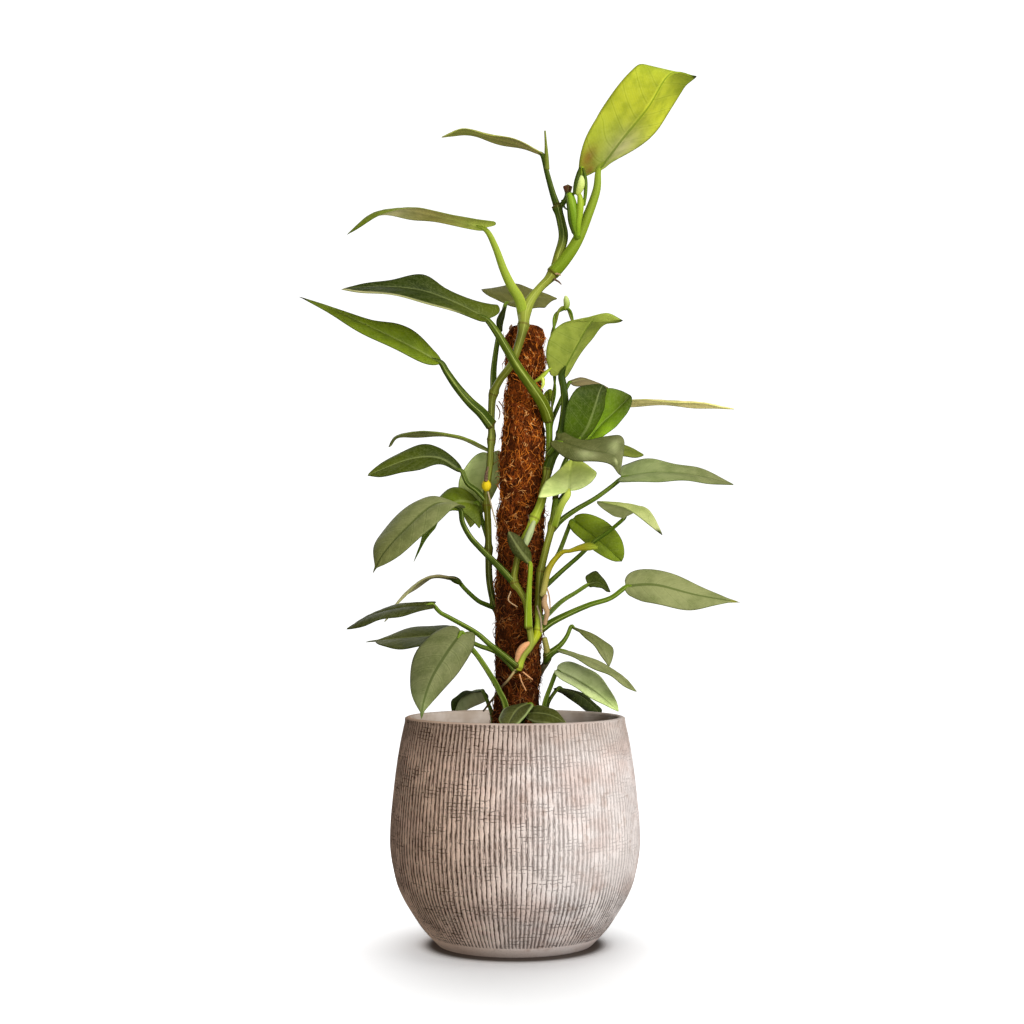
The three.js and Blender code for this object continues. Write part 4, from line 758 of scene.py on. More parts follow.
class Nodes:
    """A material in the making."""

    def __init__(self, name):
        self.material = bpy.data.materials.new(name)
        self.material.use_nodes = True
        self.tree = self.material.node_tree
        self.shader = self.tree.nodes["Principled BSDF"]

    def set(self, **values):
        """Sets the shader's sockets that are the same all over."""
        for key, value in values.items():
            self.shader.inputs[key.replace("_", " ")].default_value = value

    def link(self, value, key):
        self.tree.links.new(value.socket, self.shader.inputs[key])

    def out(self, kind, inputs=None, socket=0, **settings):
        return Value(self.tree, add(self.tree, kind, inputs, **settings).outputs[socket])

    def place(self):
        return self.out("ShaderNodeTexCoord", socket="Object")

    def read(self, name, socket="Fac"):
        """A per-point value of the mesh."""
        return self.out("ShaderNodeAttribute", socket=socket, attribute_name=name)

    def axes(self, vector):
        made = add(self.tree, "ShaderNodeSeparateXYZ", {"Vector": vector})
        return [Value(self.tree, socket) for socket in made.outputs]

    def length(self, vector):
        return self.out("ShaderNodeVectorMath", {0: vector}, "Value", operation="LENGTH")

    def stretched(self, place, scale):
        return self.out("ShaderNodeMapping", {"Vector": place, "Scale": scale}, "Vector")

    def spots(self, place, size_mm, detail=2.0, rough=0.5, distortion=0.0):
        """Cloudy noise whose clumps are about size_mm across."""
        return self.out("ShaderNodeTexNoise", {
            "Vector": place, "Scale": 1 / (size_mm * MM), "Detail": detail, "Roughness": rough,
            "Distortion": distortion,
        }, "Fac")

    def mixed(self, factor, a, b, blend="MIX"):
        return self.out("ShaderNodeMix", {0: factor, MIX_A: a, MIX_B: b}, MIX_OUT,
                        data_type="RGBA", blend_type=blend, clamp_factor=True)

    def layered(self, colour, *layers):
        """The colour under layers of (how much, colour), the first one lowest."""
        for factor, layer in layers:
            colour = self.mixed(factor, colour, layer)
        return colour

    def finish(self, colour, roughness=None, height=None, depth=0.0):
        """Links the colour, the roughness and a height in metres to the shader."""
        self.link(colour, "Base Color")
        if roughness is not None:
            self.link(roughness, "Roughness")
        if height is not None:
            bump = {"Height": height, "Distance": depth, "Strength": 1.0}
            self.link(self.out("ShaderNodeBump", bump, "Normal"), "Normal")


def whitewashed_stoneware(n):
    """Brown fired clay, combed wet and brushed with thin white slip: it thins to pinkish clay in
    patches, and combed lines and cross scratches stay dark. Painted shade: the slip turns warmer
    and darker toward the left, where the lines show stronger, and the foot band darkens toward the
    floor."""
    n.set(IOR=1.5, Roughness=0.9, Specular_IOR_Level=0.1)
    sizes = plant_sizes()
    place = n.place()
    x, y, z = n.axes(place)
    wander = n.axes(n.read("place", "Vector"))[0]
    turn = y.math("ARCTAN2", x) * (GROOVE_LINES / (2 * math.pi))
    jitter = n.spots(n.stretched(place, (1, 1, 0.6)), 3.5, 3, 0.6)
    phase = turn + wander + jitter * 0.5
    uneven = n.spots(place, 9, 3, 0.6)
    near_line = phase.pingpong() + (uneven - 0.5) * 0.16
    broken = n.spots(n.stretched(place, (1, 1, 0.25)), 2.4, 2, 0.6)
    line = near_line.ramp(0.345, 0.415) * broken.ramp(0.3, 0.42, 0.15, 1)
    patch = n.spots(place, 26, 2, 0.5)
    finer = (phase * 2).pingpong().ramp(0.34, 0.44, 0, 0.8) * patch.ramp(0.4, 0.52)
    row = z * (1 / (CROSS_SCRATCH_STEP * MM)) + uneven * 1.6
    crossed = n.spots(n.stretched(place, (0.55, 0.55, 1.9)), 22, 2, 0.55)
    cross = row.pingpong().ramp(0.38, 0.45) * (crossed.ramp(0.5, 0.58) * jitter.ramp(0.42, 0.52))
    # Painted shade: the lines show strongest on the left and low down, and fade toward the right.
    line_strength = x.ramp(-45 * MM, 98 * MM, 0.97, 0.42).most(z.ramp(100 * MM, 40 * MM, 0, 0.86))
    shown = line.most(finer).most(cross) * n.read("mark") * line_strength
    cloud = n.spots(n.stretched(place, (0.7, 0.7, 1.5)), 45, 3, 0.6)
    grain = n.spots(place, 0.9, 3, 0.7)
    colour = n.layered(
        # Painted shade: the slip goes from the warmer, darker left colour to the right one across
        # the pot.
        n.mixed(x.ramp(-95 * MM, 48 * MM), sizes.shaded_left_slip, sizes.right_side_slip),
        (cloud.ramp(0.42, 0.66, 0, 0.36), "#cfa795"),
        (n.spots(place, 14, 4, 0.65).ramp(0.55, 0.72, 0, 0.4), "#b08a72"),
        (z.ramp(165 * MM, 200 * MM, 0, 0.42), "#9c8570"),
        # Painted shade: the foot band darkens toward the floor it stands on.
        (z.ramp(10 * MM, 1 * MM, 0, 0.5), "#6f5a4e"),
        (grain.ramp(0.5, 0.72, 0, 0.45), "#86705e"),
        (shown, sizes.clay))
    n.finish(colour, None, grain * 0.5 - shown * 0.8, 0.5 * MM)


def bare_stoneware_inside(n):
    """Unglazed inside of the pot: pale, smooth and dusty, with faint turning marks."""
    n.set(IOR=1.5, Roughness=0.85)
    place = n.place()
    turning = n.spots(n.stretched(place, (0.1, 0.1, 1)), 3, 2, 0.5)
    colour = n.layered("#b3a190", (n.spots(place, 30, 3, 0.6).ramp(0.35, 0.65), "#cdbfb2"),
                       (turning.ramp(0.5, 0.8, 0, 0.3), "#b39c84"))
    n.finish(colour, None, turning, 0.2 * MM)


def potting_soil(n):
    """Damp peat with bark and a few pale perlite grains: crumbly, dark and matt."""
    n.set(IOR=1.45, Roughness=0.95)
    place = n.place()
    crumb = n.spots(place, 3, 5, 0.7)
    clump = n.spots(place, 12, 3, 0.6)
    grain = n.out("ShaderNodeTexVoronoi", {"Vector": place, "Scale": 1 / (7 * MM)}, "Distance")
    colour = n.layered("#1d130c", (crumb.ramp(0.35, 0.7), plant_sizes().soil),
                       (clump.ramp(0.5, 0.75, 0, 0.6), "#5e4630"),
                       (grain.ramp(0.1, 0.06), "#cfc6b4"))
    n.finish(colour, None, crumb, 2 * MM)


def turned_softwood(n):
    """Debarked softwood stake: straight grain along its length, grey-brown from the damp soil."""
    n.set(IOR=1.5, Roughness=0.75)
    grain = n.spots(n.stretched(n.place(), (1, 1, 0.06)), 1.6, 4, 0.6)
    n.finish(n.mixed(grain.ramp(0.35, 0.65), "#8a6a44", "#b3905f"), None, grain, 0.3 * MM)


def damp(n, place):
    """How much darker the coir is: more and more toward the soil."""
    return n.axes(place)[2].ramp(300 * MM, 440 * MM, 0.6, 0)


def coir_mat(n):
    """Latexed coconut-husk mat under the loose fibres: rusty strands over a near-black base,
    partly the husk's own dark colour and partly painted shade in the hollows, and darker toward
    the soil."""
    n.set(IOR=1.5, Roughness=0.95, Specular_IOR_Level=0.05)
    place = n.place()
    strand = n.spots(n.stretched(place, (1, 1, 0.4)), 2.6, 4, 0.7, 2.0)
    # The near-black base and the dark clumps are partly painted shade in the mat's hollows.
    colour = n.layered("#240d02", (strand.ramp(0.42, 0.62), plant_sizes().coir),
                       (n.spots(place, 11, 2, 0.5).ramp(0.46, 0.62, 0, 0.75), "#2b1003"),
                       (damp(n, place), "#1e0b02"))
    n.finish(colour, None, strand, 1.6 * MM)


def coir_fibre(n):
    """Loose coconut-husk fibres: stiff, rusty to golden, slightly shiny strands under 1 mm thick,
    some of them stained dark."""
    n.set(IOR=1.5, Roughness=0.7, Specular_IOR_Level=0.12)
    place = n.place()
    n.finish(n.layered(
        "#702f08", (n.spots(place, 6, 2, 0.6).ramp(0.4, 0.6), "#bd6a1c"),
        (n.spots(place, 4.5, 1, 0.5).ramp(0.58, 0.66, 0, 0.9), plant_sizes().fibre),
        # The fibres darken toward the soil too.
        (damp(n, place), "#3a1705")))


def waxy_leaf(n):
    """Living leaf skin: a thin wax gives a soft broad gloss, with a midrib, curved side veins, a
    fine mottle and a thin dark margin. The colour comes from each leaf's own tint."""
    n.set(IOR=1.45, Specular_IOR_Level=0.08)
    tint, to_edge, rib_tone = n.read("tint", "Color"), n.read("tint", "Alpha"), n.read("mark")
    phase, off_rib, share = n.axes(n.read("place", "Vector"))
    place = n.place()
    mottle = n.spots(place, 1.8, 4, 0.65)
    patch = n.spots(place, 14, 3, 0.55)
    dark = n.mixed(1.0, tint, (0.42, 0.5, 0.3, 1), "MULTIPLY")
    pale = n.mixed(0.5, tint, "#d2db8c")
    wave = phase.pingpong()
    vein = wave.ramp(0.06, 0.0)
    beside_vein = abs(wave - 0.1).ramp(0.08, 0.0)
    fine_vein = (phase * 7.0).pingpong().ramp(0.2, 0.0)
    rib = (abs(off_rib) / share.ramp(0.0, 1.0, 2.0, 0.8)).ramp(1.1, 0.5)
    colour = n.layered(
        tint, (patch.ramp(0.38, 0.68, 0, 0.5), dark), (mottle.ramp(0.4, 0.7, 0, 0.09), pale),
        (fine_vein * 0.1, dark), (beside_vein * 0.06, pale), (vein * 0.22, dark),
        (rib * rib_tone.most(0.0), dark), (rib * (rib_tone * -1.0).most(0.0) * 0.6, pale),
        (to_edge.ramp(0.9, 0.3, 0, 0.7), dark))
    height = mottle * 0.25 + vein * -0.6 + fine_vein * -0.15
    n.finish(colour, mottle.ramp(0.3, 0.7, 0.46, 0.58), height, 0.14 * MM)


def living_stalk(n):
    """Smooth green skin of stalks and stems: waxy, with fine straight streaks and corky brown
    rings where old leaves stood. Painted shade darkens a stalk's underside and a stem's back, and
    a pale painted highlight runs along both wings of a stalk and down the front of a stem."""
    n.set(IOR=1.45, Specular_IOR_Level=0.08)
    tint, winged, mark = n.read("tint", "Color"), n.read("tint", "Alpha"), n.read("mark")
    where = n.read("place", "Vector")
    topside = n.axes(where)[1]
    streak = n.spots(n.stretched(where, (0.00003, 0.0022, 0.0022)), 0.9, 2, 0.6)
    cork = n.spots(n.place(), 1.2, 3, 0.7)
    dark = n.mixed(1.0, tint, (0.4, 0.5, 0.25, 1), "MULTIPLY")
    # Mask of the painted highlight: a line on each side where topside is 0.72.
    wing_highlight = abs(topside - 0.72).ramp(0.07, 0.01)
    # Painted shade darkens the side facing away from the top, and '#b9c46c' is the pale painted
    # highlight.
    colour = n.layered(
        tint, (streak.ramp(0.5, 0.7, 0, 0.3), "#a4b04a"), (streak.ramp(0.45, 0.3, 0, 0.5), dark),
        (topside.ramp(0.1, -0.8, 0, 0.6), dark), (wing_highlight * winged, "#b9c46c"),
        (mark * cork.ramp(0.25, 0.5), "#4a3212"))
    rough = n.mixed(mark, (0.42, 0.42, 0.42, 1), (0.85, 0.85, 0.85, 1))
    n.finish(colour, rough, streak + cork, 0.15 * MM)


def papery_sheath(n):
    """Withered sheaths and dead blades: thin, matt, brown and finely wrinkled."""
    n.set(IOR=1.45, Roughness=0.85)
    wrinkle = n.spots(n.place(), 1.6, 4, 0.7)
    colour = n.layered(n.read("tint", "Color"), (wrinkle.ramp(0.4, 0.7, 0, 0.5), "#a5825a"),
                       (wrinkle.ramp(0.45, 0.25, 0, 0.6), "#2f1c0e"))
    n.finish(colour, None, wrinkle, 0.4 * MM)


def studio_paper(n):
    """Pale matt background paper under and behind the plant. It glows, less near the pot as a
    painted soft shadow, and its colour darkens just in front of the foot as a painted contact
    shadow.
    """
    n.set(Roughness=1.0, Specular_IOR_Level=0.0, Emission_Color=(1, 1, 1, 1))
    place = n.place()
    away = n.length(n.stretched(place, (2.3, 1, 1)))
    painted_shadow_centre = n.out("ShaderNodeVectorMath", {0: place, 1: (0, 8 * MM, 0)}, operation="ADD")
    under = n.length(painted_shadow_centre)
    # Painted contact shadow: a darker ring just in front of the pot's foot.
    colour = n.layered("#f4f4f4", (n.spots(place, 4, 2, 0.5), "#f7f7f7"),
                       (under.ramp(86 * MM, 76 * MM), "#7d756f"))
    # The glow is weaker near the pot and dies at its foot, reaching further in front and behind
    # than to the sides: a painted soft shadow.
    glow_with_painted_shadow = away.ramp(80 * MM, 600 * MM, 0.33, 0.95) * under.ramp(74 * MM, 94 * MM)
    n.link(glow_with_painted_shadow, "Emission Strength")
    n.finish(colour)


MATERIALS = {}


def finish(maker):
    """A finish, made once and shared by the pieces that have it."""
    if maker.__name__ not in MATERIALS:
        nodes = Nodes(maker.__name__)
        maker(nodes)
        MATERIALS[maker.__name__] = nodes.material
    return MATERIALS[maker.__name__]


# Pot.
GROOVE_LINES = 156
POINTS_PER_LINE = 5
GROOVE_RELIEF = 0.7
GROOVE_ROW = 3
GROOVE_SHARE = 0.17
INSIDE_SEGMENTS = 180
FLOOR_ROUND = 4
INSIDE_HEIGHTS = (196, 188, 178, 160, 134, 96, 62, 34)
# Noise over the pot's outside: its scale around and up, and how far it moves or cuts a groove.
GROOVE_PHASE = 0.25
WANDER_AROUND, WANDER_UP, WANDER_SHARE = 7, 0.012, 0.5
FILL_AROUND, FILL_UP = 60, 0.09
CUT_MIDDLE, CUT_SWING, CUT_LEAST = 0.75, 0.9, 0.1
ROUGH_AROUND, ROUGH_UP, ROUGH_HEIGHT = 45, 0.4, 0.15


def pot_radius_at(height):
    return POT_BELLY_RADIUS * smooth(height, POT_OUTSIDE)


def pot_inner_radius_at(height):
    return pot_radius_at(height) - CAD_GROOVE_DEPTH - POT_WALL


def build_pot():
    """Thick wall, combed outside between a smooth foot band and a thin smooth lip."""
    shape = Shape()
    around = GROOVE_LINES * POINTS_PER_LINE
    relief = plant_sizes().groove_depth / MM
    plain = (1, 1, 1)

    def outside(height, combed):
        ring = []
        for i in range(around):
            turn = 2 * math.pi * i / around
            radius = pot_radius_at(height)
            across = Vector((math.cos(turn), math.sin(turn), 0))
            wander = noise.noise(across * WANDER_AROUND + Vector((0, 0, height * WANDER_UP)))
            wander *= WANDER_SHARE
            phase = (i / POINTS_PER_LINE + wander + GROOVE_PHASE) % 1
            cut = bell(phase - 0.5, GROOVE_SHARE)
            fill = noise.noise(across * FILL_AROUND + Vector((0, 0, height * FILL_UP)))
            depth = combed * cut * min(max(CUT_MIDDLE + fill * CUT_SWING, CUT_LEAST), 1)
            rough = noise.noise(across * ROUGH_AROUND + Vector((0, 0, height * ROUGH_UP)))
            rough *= ROUGH_HEIGHT * combed
            radius -= depth * relief - rough
            ring.append(shape.point((radius * across.x, radius * across.y, height), plain,
                                    (wander, 0, 0), combed))
        return ring

    def ring(count, radius, height):
        return [
            shape.point((radius * math.cos(2 * math.pi * i / count),
                         radius * math.sin(2 * math.pi * i / count), height), plain)
            for i in range(count)
        ]

    rows = [outside(1.5, 0), outside(4, 0), outside(7, 0), outside(POT_FOOT_BAND, 0)]
    height = POT_FOOT_BAND + 1
    while height < POT_COMBED_TO:
        rows.append(outside(height, 1))
        height += GROOVE_ROW
    rim = pot_radius_at(POT_COMBED_TO)
    rows += [outside(POT_COMBED_TO, 1), outside(POT_COMBED_TO + 0.4, 0)]
    lip = [(rim - 0.5, POT_HEIGHT - 1), (rim - 1.2, POT_HEIGHT - 0.4), (rim - 2.4, POT_HEIGHT),
           (rim - 5, POT_HEIGHT), (rim - 6.4, POT_HEIGHT - 0.7), (rim - POT_WALL, POT_HEIGHT - 2)]
    rows += [ring(around, radius, height) for radius, height in lip[:3]]
    shape.rings(rows)
    foot = ring(around, POT_FOOT_RADIUS, 0)
    middle = shape.point((0, 0, 0), plain)
    shape.rings([[middle], foot, rows[0]])
    inner = ring(around, *lip[3])
    step_down = [ring(around, *lip[4]), ring(around, *lip[5])]
    shape.rings([rows[-1], inner])
    shape.rings([inner, *step_down], 1)
    walls = [ring(INSIDE_SEGMENTS, pot_inner_radius_at(z), z) for z in INSIDE_HEIGHTS]
    join_uneven(shape, step_down[-1], walls[0], 1)
    shape.rings(walls, 1)
    floor = ring(INSIDE_SEGMENTS, pot_inner_radius_at(POT_FLOOR + FLOOR_ROUND), POT_FLOOR)
    centre = shape.point((0, 0, POT_FLOOR), plain)
    shape.rings([walls[-1], floor, [centre]], 1)
    skins = [finish(whitewashed_stoneware), finish(bare_stoneware_inside)]
    shape.piece("pot_combed", skins, ["pot"], "pot")


def join_uneven(shape, near, far, slot):
    """Joins two rings whose counts differ, one step at a time round the longer one."""
    count = len(near)
    for i in range(count):
        a, b = near[i], near[(i + 1) % count]
        c = far[(i * len(far) // count) % len(far)]
        d = far[((i + 1) * len(far) // count) % len(far)]
        shape.face([a, b, d, c], slot)


# Soil.
SOIL_RINGS = 44
SOIL_SPOKES = 150
SOIL_BUMP = 1.5
SOIL_CRUMB = 1.6
SOIL_SINK = 0.6
SOIL_TOP_GAP, SOIL_WALL_GAP, SOIL_FOOT_GAP = 0.6, 0.5, 0.4
SOIL_WALL_HEIGHTS = (34, 62, 96, 134, 168)
SOIL_BROAD_X, SOIL_BROAD_Y = 0.17, 0.14
SOIL_SMALL_X, SOIL_SMALL_Y, SOIL_SMALL = 0.31, 0.27, 0.5
# A fractal's roughness, its step from octave to octave and its octaves.
CRUMB_SCALE, CRUMB_FRACTAL = 0.16, (0.6, 2, 4)


def soil_height_at(x, y):
    bump = math.sin(x * SOIL_BROAD_X + 1) * math.cos(y * SOIL_BROAD_Y)
    bump += SOIL_SMALL * math.sin(x * SOIL_SMALL_X - y * SOIL_SMALL_Y)
    crumb = noise.fractal(Vector((x, y, 3)) * CRUMB_SCALE, *CRUMB_FRACTAL)
    return SOIL_LEVEL + bump * SOIL_BUMP + crumb * SOIL_CRUMB - SOIL_SINK


def build_soil():
    """The soil's crumbly top, closed by its wall and foot inside the pot."""
    shape = Shape()
    dark = shade("dark_brown")

    def ring(radius, height=None):
        made = []
        for i in range(SOIL_SPOKES):
            turn = 2 * math.pi * i / SOIL_SPOKES
            x, y = radius * math.cos(turn), radius * math.sin(turn)
            z = soil_height_at(x, y) if height is None else height
            made.append(shape.point((x, y, z), dark))
        return made

    edge = pot_inner_radius_at(SOIL_LEVEL) - SOIL_TOP_GAP
    foot = POT_FLOOR + SOIL_FOOT_GAP
    foot_radius = pot_inner_radius_at(POT_FLOOR + FLOOR_ROUND) - 2
    rows = [[shape.point((0, 0, foot), dark)], ring(foot_radius, foot)]
    rows += [ring(pot_inner_radius_at(z) - SOIL_WALL_GAP, z) for z in SOIL_WALL_HEIGHTS]
    rows += [ring(edge * (1 - r / SOIL_RINGS)) for r in range(SOIL_RINGS)]
    rows.append([shape.point((0, 0, soil_height_at(0, 0)), dark)])
    shape.rings(rows)
    shape.piece("soil_crumbly", [finish(potting_soil)], ["soil"], "soil")


# Coir pole.
COIR_AROUND = 130
COIR_ROW = 2.2
FIBRES = 1900
FIBRE_LENGTH = 17
FIBRE_THICKNESS = 0.75
FIBRE_STANDS_OFF = 0.4
COIR_LUMPS = 1.7
COIR_ROUGH = 1.1
COIR_BORE_TOP = 541
COIR_SHOULDER, COIR_SHRINK, COIR_PEAK = 3, 0.5, 0.8
# The rounded top of the coir: height over its top and radius.
COIR_CAP = ((-1, 12.6), (0, 9))
LUMPS_AROUND, LUMPS_UP = 1.9, 0.075
HUSK_AROUND, HUSK_UP, HUSK_FRACTAL = 5, 0.22, (0.7, 2, 4)
FIBRE_GROUND_ROW = 4
FIBRE_LEAST, FIBRE_MOST = 0.5, 1.3
# A fibre's bow, wave and rise in millimetres, how fast they turn, and its sag toward the ends.
FIBRE_BOW, FIBRE_WAVE, FIBRE_WAVE_RATE = 3.4, 0.9, 11
FIBRE_RISE, FIBRE_RISE_RATE, FIBRE_SAG = 0.5, 7, 50
FIBRE_END, FIBRE_SWELL = 0.45, 0.55
FIBRE_SEED, TURN_SEED, SIZE_SEED = 7, 11, 12


def coir_radius_at(height, turn):
    wide = math.sin(turn * 3 + height * 0.11) + math.sin(turn * 2 + height * 0.05)
    small = math.sin(turn * 5 - height * 0.23)
    return between(height, COIR_RADII) + (wide + 0.6 * small) * COIR_RELIEF


def pole_axis(height):
    return np.array((POLE_FOOT_X + POLE_LEAN * height, 0, height))


def coir_ring(shape, height, shrink=0.0, plain_radius=None):
    ring = []
    for i in range(COIR_AROUND):
        turn = 2 * math.pi * i / COIR_AROUND
        out = Vector((math.cos(turn), math.sin(turn), 0))
        radius = plain_radius
        if radius is None:
            lump = noise.noise(out * LUMPS_AROUND + Vector((0, 0, height * LUMPS_UP)))
            rough = noise.fractal(
                out * HUSK_AROUND + Vector((0, 0, height * HUSK_UP)), *HUSK_FRACTAL)
            radius = coir_radius_at(height, turn) - shrink + lump * COIR_LUMPS + rough * COIR_ROUGH
        centre = pole_axis(height)
        ring.append(shape.point((centre[0] + radius * out.x, radius * out.y, height), (1, 1, 1)))
    return ring


def build_coir():
    """The husk mat round the stake: clumped and pinched in where it is tied."""
    shape = Shape()
    rows = []
    height = COIR_FOOT
    while height < COIR_TOP - COIR_SHOULDER:
        rows.append(coir_ring(shape, height, COIR_SHRINK))
        height += COIR_ROW
    rows.append(coir_ring(shape, COIR_TOP - COIR_SHOULDER, COIR_SHRINK))
    rows += [coir_ring(shape, COIR_TOP + over, 0, radius) for over, radius in COIR_CAP]
    rows.append([shape.point(pole_axis(COIR_TOP + COIR_PEAK), (1, 1, 1))])
    foot = [coir_ring(shape, COIR_FOOT, 0, COIR_BORE)]
    shape.rings(rows)
    shape.rings([foot[0], rows[0]])
    bore_top = coir_ring(shape, COIR_BORE_TOP, 0, COIR_BORE)
    shape.rings([[shape.point(pole_axis(COIR_BORE_TOP), (1, 1, 1))], bore_top, foot[0]])
    shape.piece("coir_mat", [finish(coir_mat)], ["pole_coir"], "coir")


def fibre_shape():
    """One curved, tapered fibre lying along X, bowed a little off the mat."""
    shape = Shape()
    length, thickness = plant_sizes().fibre_length / MM, plant_sizes().fibre_thickness / MM
    steps, sides = 8, 3
    rings = []
    for s in range(steps + 1):
        t = s / steps
        x = (t - 0.5) * length
        bow = 4 * t * (1 - t)
        rise = FIBRE_STANDS_OFF + FIBRE_RISE * math.sin(t * FIBRE_RISE_RATE) - x * x / FIBRE_SAG
        swing = FIBRE_BOW * (bow - 0.5) + FIBRE_WAVE * math.sin(t * FIBRE_WAVE_RATE)
        centre = Vector((x, swing, rise))
        radius = thickness / 2 * (FIBRE_END + FIBRE_SWELL * bow)
        ring = []
        for k in range(sides):
            turn = 2 * math.pi * k / sides
            out = Vector((0, radius * math.cos(turn), radius * math.sin(turn)))
            ring.append(shape.point(centre + out, (1, 1, 1)))
        rings.append(ring)
    shape.rings(rings)
    shape.face(rings[0][::-1])
    shape.face(rings[-1])
    return bpy.data.objects.new("fibre", shape.plain("fibre"))


def fibre_tree(fibre):
    """Scatters the fibre over a surface, each turned at random in the surface and sized a little
    differently, and turns the result into plain geometry."""
    tree = bpy.data.node_groups.new("loose_fibres", "GeometryNodeTree")
    names = {}
    for key, label, kind in (
        ("surface", "Surface", "Geometry"), ("fibres", "Fibres per square metre", "Float"),
        ("least", "Least size", "Float"), ("most", "Most size", "Float"), ("seed", "Seed", "Int"),
    ):
        socket = tree.interface.new_socket(
            name=label, in_out="INPUT", socket_type="NodeSocket" + kind)
        names[key] = socket.identifier
    tree.interface.new_socket(name="Fibres", in_out="OUTPUT", socket_type="NodeSocketGeometry")
    start = add(tree, "NodeGroupInput").outputs
    points = add(tree, "GeometryNodeDistributePointsOnFaces", {
        "Mesh": start["Surface"], "Density": start["Fibres per square metre"],
        "Seed": start["Seed"],
    }).outputs

    def drawn(low, high, seed):
        """A random number of each fibre."""
        made = add(tree, "FunctionNodeRandomValue", {"Seed": seed}, data_type="FLOAT")
        numbers = [socket for socket in made.inputs if socket.type == "VALUE"]
        for socket, value in zip(numbers, (low, high)):
            if isinstance(value, bpy.types.NodeSocket):
                tree.links.new(value, socket)
            else:
                socket.default_value = value
        return next(socket for socket in made.outputs if socket.type == "VALUE")

    turn = drawn(0.0, 2 * math.pi, TURN_SEED)
    size = drawn(start["Least size"], start["Most size"], SIZE_SEED)
    spin = add(tree, "ShaderNodeCombineXYZ", {"Z": turn}).outputs[0]
    rotation = add(tree, "FunctionNodeRotateRotation", {
        "Rotation": points["Rotation"], "Rotate By": spin,
    }, rotation_space="LOCAL").outputs[0]
    info = add(tree, "GeometryNodeObjectInfo", {"Object": fibre}).outputs
    placed = add(tree, "GeometryNodeInstanceOnPoints", {
        "Points": points["Points"], "Instance": info["Geometry"], "Rotation": rotation,
        "Scale": size,
    }).outputs["Instances"]
    plain = add(tree, "GeometryNodeRealizeInstances", {"Geometry": placed}).outputs["Geometry"]
    coloured = add(tree, "GeometryNodeSetMaterial", {
        "Geometry": plain, "Material": finish(coir_fibre),
    }).outputs["Geometry"]
    tree.links.new(coloured, add(tree, "NodeGroupOutput").inputs[0])
    return tree, names


def build_fibres():
    """Loose fibres over the coir from the soil up, as one plain mesh."""
    shape = Shape()
    rows = []
    height = SOIL_LEVEL + 4
    while height < COIR_TOP - 4:
        rows.append(coir_ring(shape, height))
        height += FIBRE_GROUND_ROW
    shape.rings(rows)
    mesh = shape.plain("fibre_ground")
    ground = bpy.data.objects.new("fibre_ground", mesh)
    bpy.context.scene.collection.objects.link(ground)
    area = sum(p.area for p in mesh.polygons)
    fibre = fibre_shape()
    tree, names = fibre_tree(fibre)
    modifier = ground.modifiers.new("fibres", "NODES")
    modifier.node_group = tree
    modifier[names["fibres"]] = plant_sizes().fibre_count / area
    modifier[names["least"]] = FIBRE_LEAST
    modifier[names["most"]] = FIBRE_MOST
    modifier[names["seed"]] = FIBRE_SEED
    evaluated = ground.evaluated_get(bpy.context.evaluated_depsgraph_get())
    made = bpy.data.meshes.new_from_object(evaluated)
    bpy.data.objects.remove(ground)
    bpy.data.objects.remove(fibre)
    made.polygons.foreach_set("use_smooth", [True] * len(made.polygons))
    adopt(bpy.data.objects.new("coir_fibres", made), (), "coir")


def build_stake():
    """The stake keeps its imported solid: only its material is new."""
    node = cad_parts["pole_stake"]
    node.data.materials.clear()
    node.data.materials.append(finish(turned_softwood))


# Stems.
STEM_SIDES = 18
STEM_ROW = 1.1
STALK_SIDES = 16
STALK_ROW = 2.0
# Strength of the painted highlight along a stalk's wings.
WING_HIGHLIGHT = 0.6
WING_HEIGHT, WING_AT, WING_SPREAD = 0.16, 0.75, 0.35
WING_FALL = 1.6
CHANNEL_DEPTH, CHANNEL_SPREAD = 0.1, 0.4
# Painted highlight on the stems: its strength and the side it runs along; the far side gets
# painted shade.
STEM_HIGHLIGHT = 0.34
STEM_HIGHLIGHT_SIDE = (-0.75, -0.66, 0)
TRIFLE_SIDES, TRIFLE_ROW = 8, 0.8
RIDGE_HEIGHT, RIDGE_ABOVE, RIDGE_WIDTH = 0.35, 1.4, 0.8
SCAR_DEPTH, SCAR_WIDTH = 0.25, 0.6
MARK_STRENGTH, MARK_WIDTH = 0.7, 0.7
# Ribs of a stem: height, how many go round, and how far they turn along it.
STEM_RIBS = ((0.1, 5, 3), (0.06, 9, -11))

STEM_STOPS = {
    "vine_left": [(180, "stem_dark"), (300, "stem_dark"), (400, "stem_olive"), (440, "stem_grey"),
        (490, "stem_grey"), (530, "stem_pale"), (555, "stem_grey"), (572, "stem_light"),
        (600, "stem_light"), (625, "stem_pale"), (660, "stalk_dark"), (693, "stalk_dark"),
        (696, "stub_brown")],
    "vine_front": [(246, "node_yellow"), (257, "leaf_lime"), (266, "stem_light"),
        (310, "stem_pale"), (350, "stem_olive"), (390, "leaf_lime"), (420, "stem_olive"),
        (490, "stalk_green")],
    "vine_front_branch": [(272, "stem_light"), (284, "node_yellow"), (292, "leaf_lime"),
        (310, "stem_olive"), (380, "stem_pale"), (410, "stalk_green")],
    "vine_low": [(180, "stem_dark"), (240, "stem_olive"), (256, "dull_root"), (270, "tan")],
}


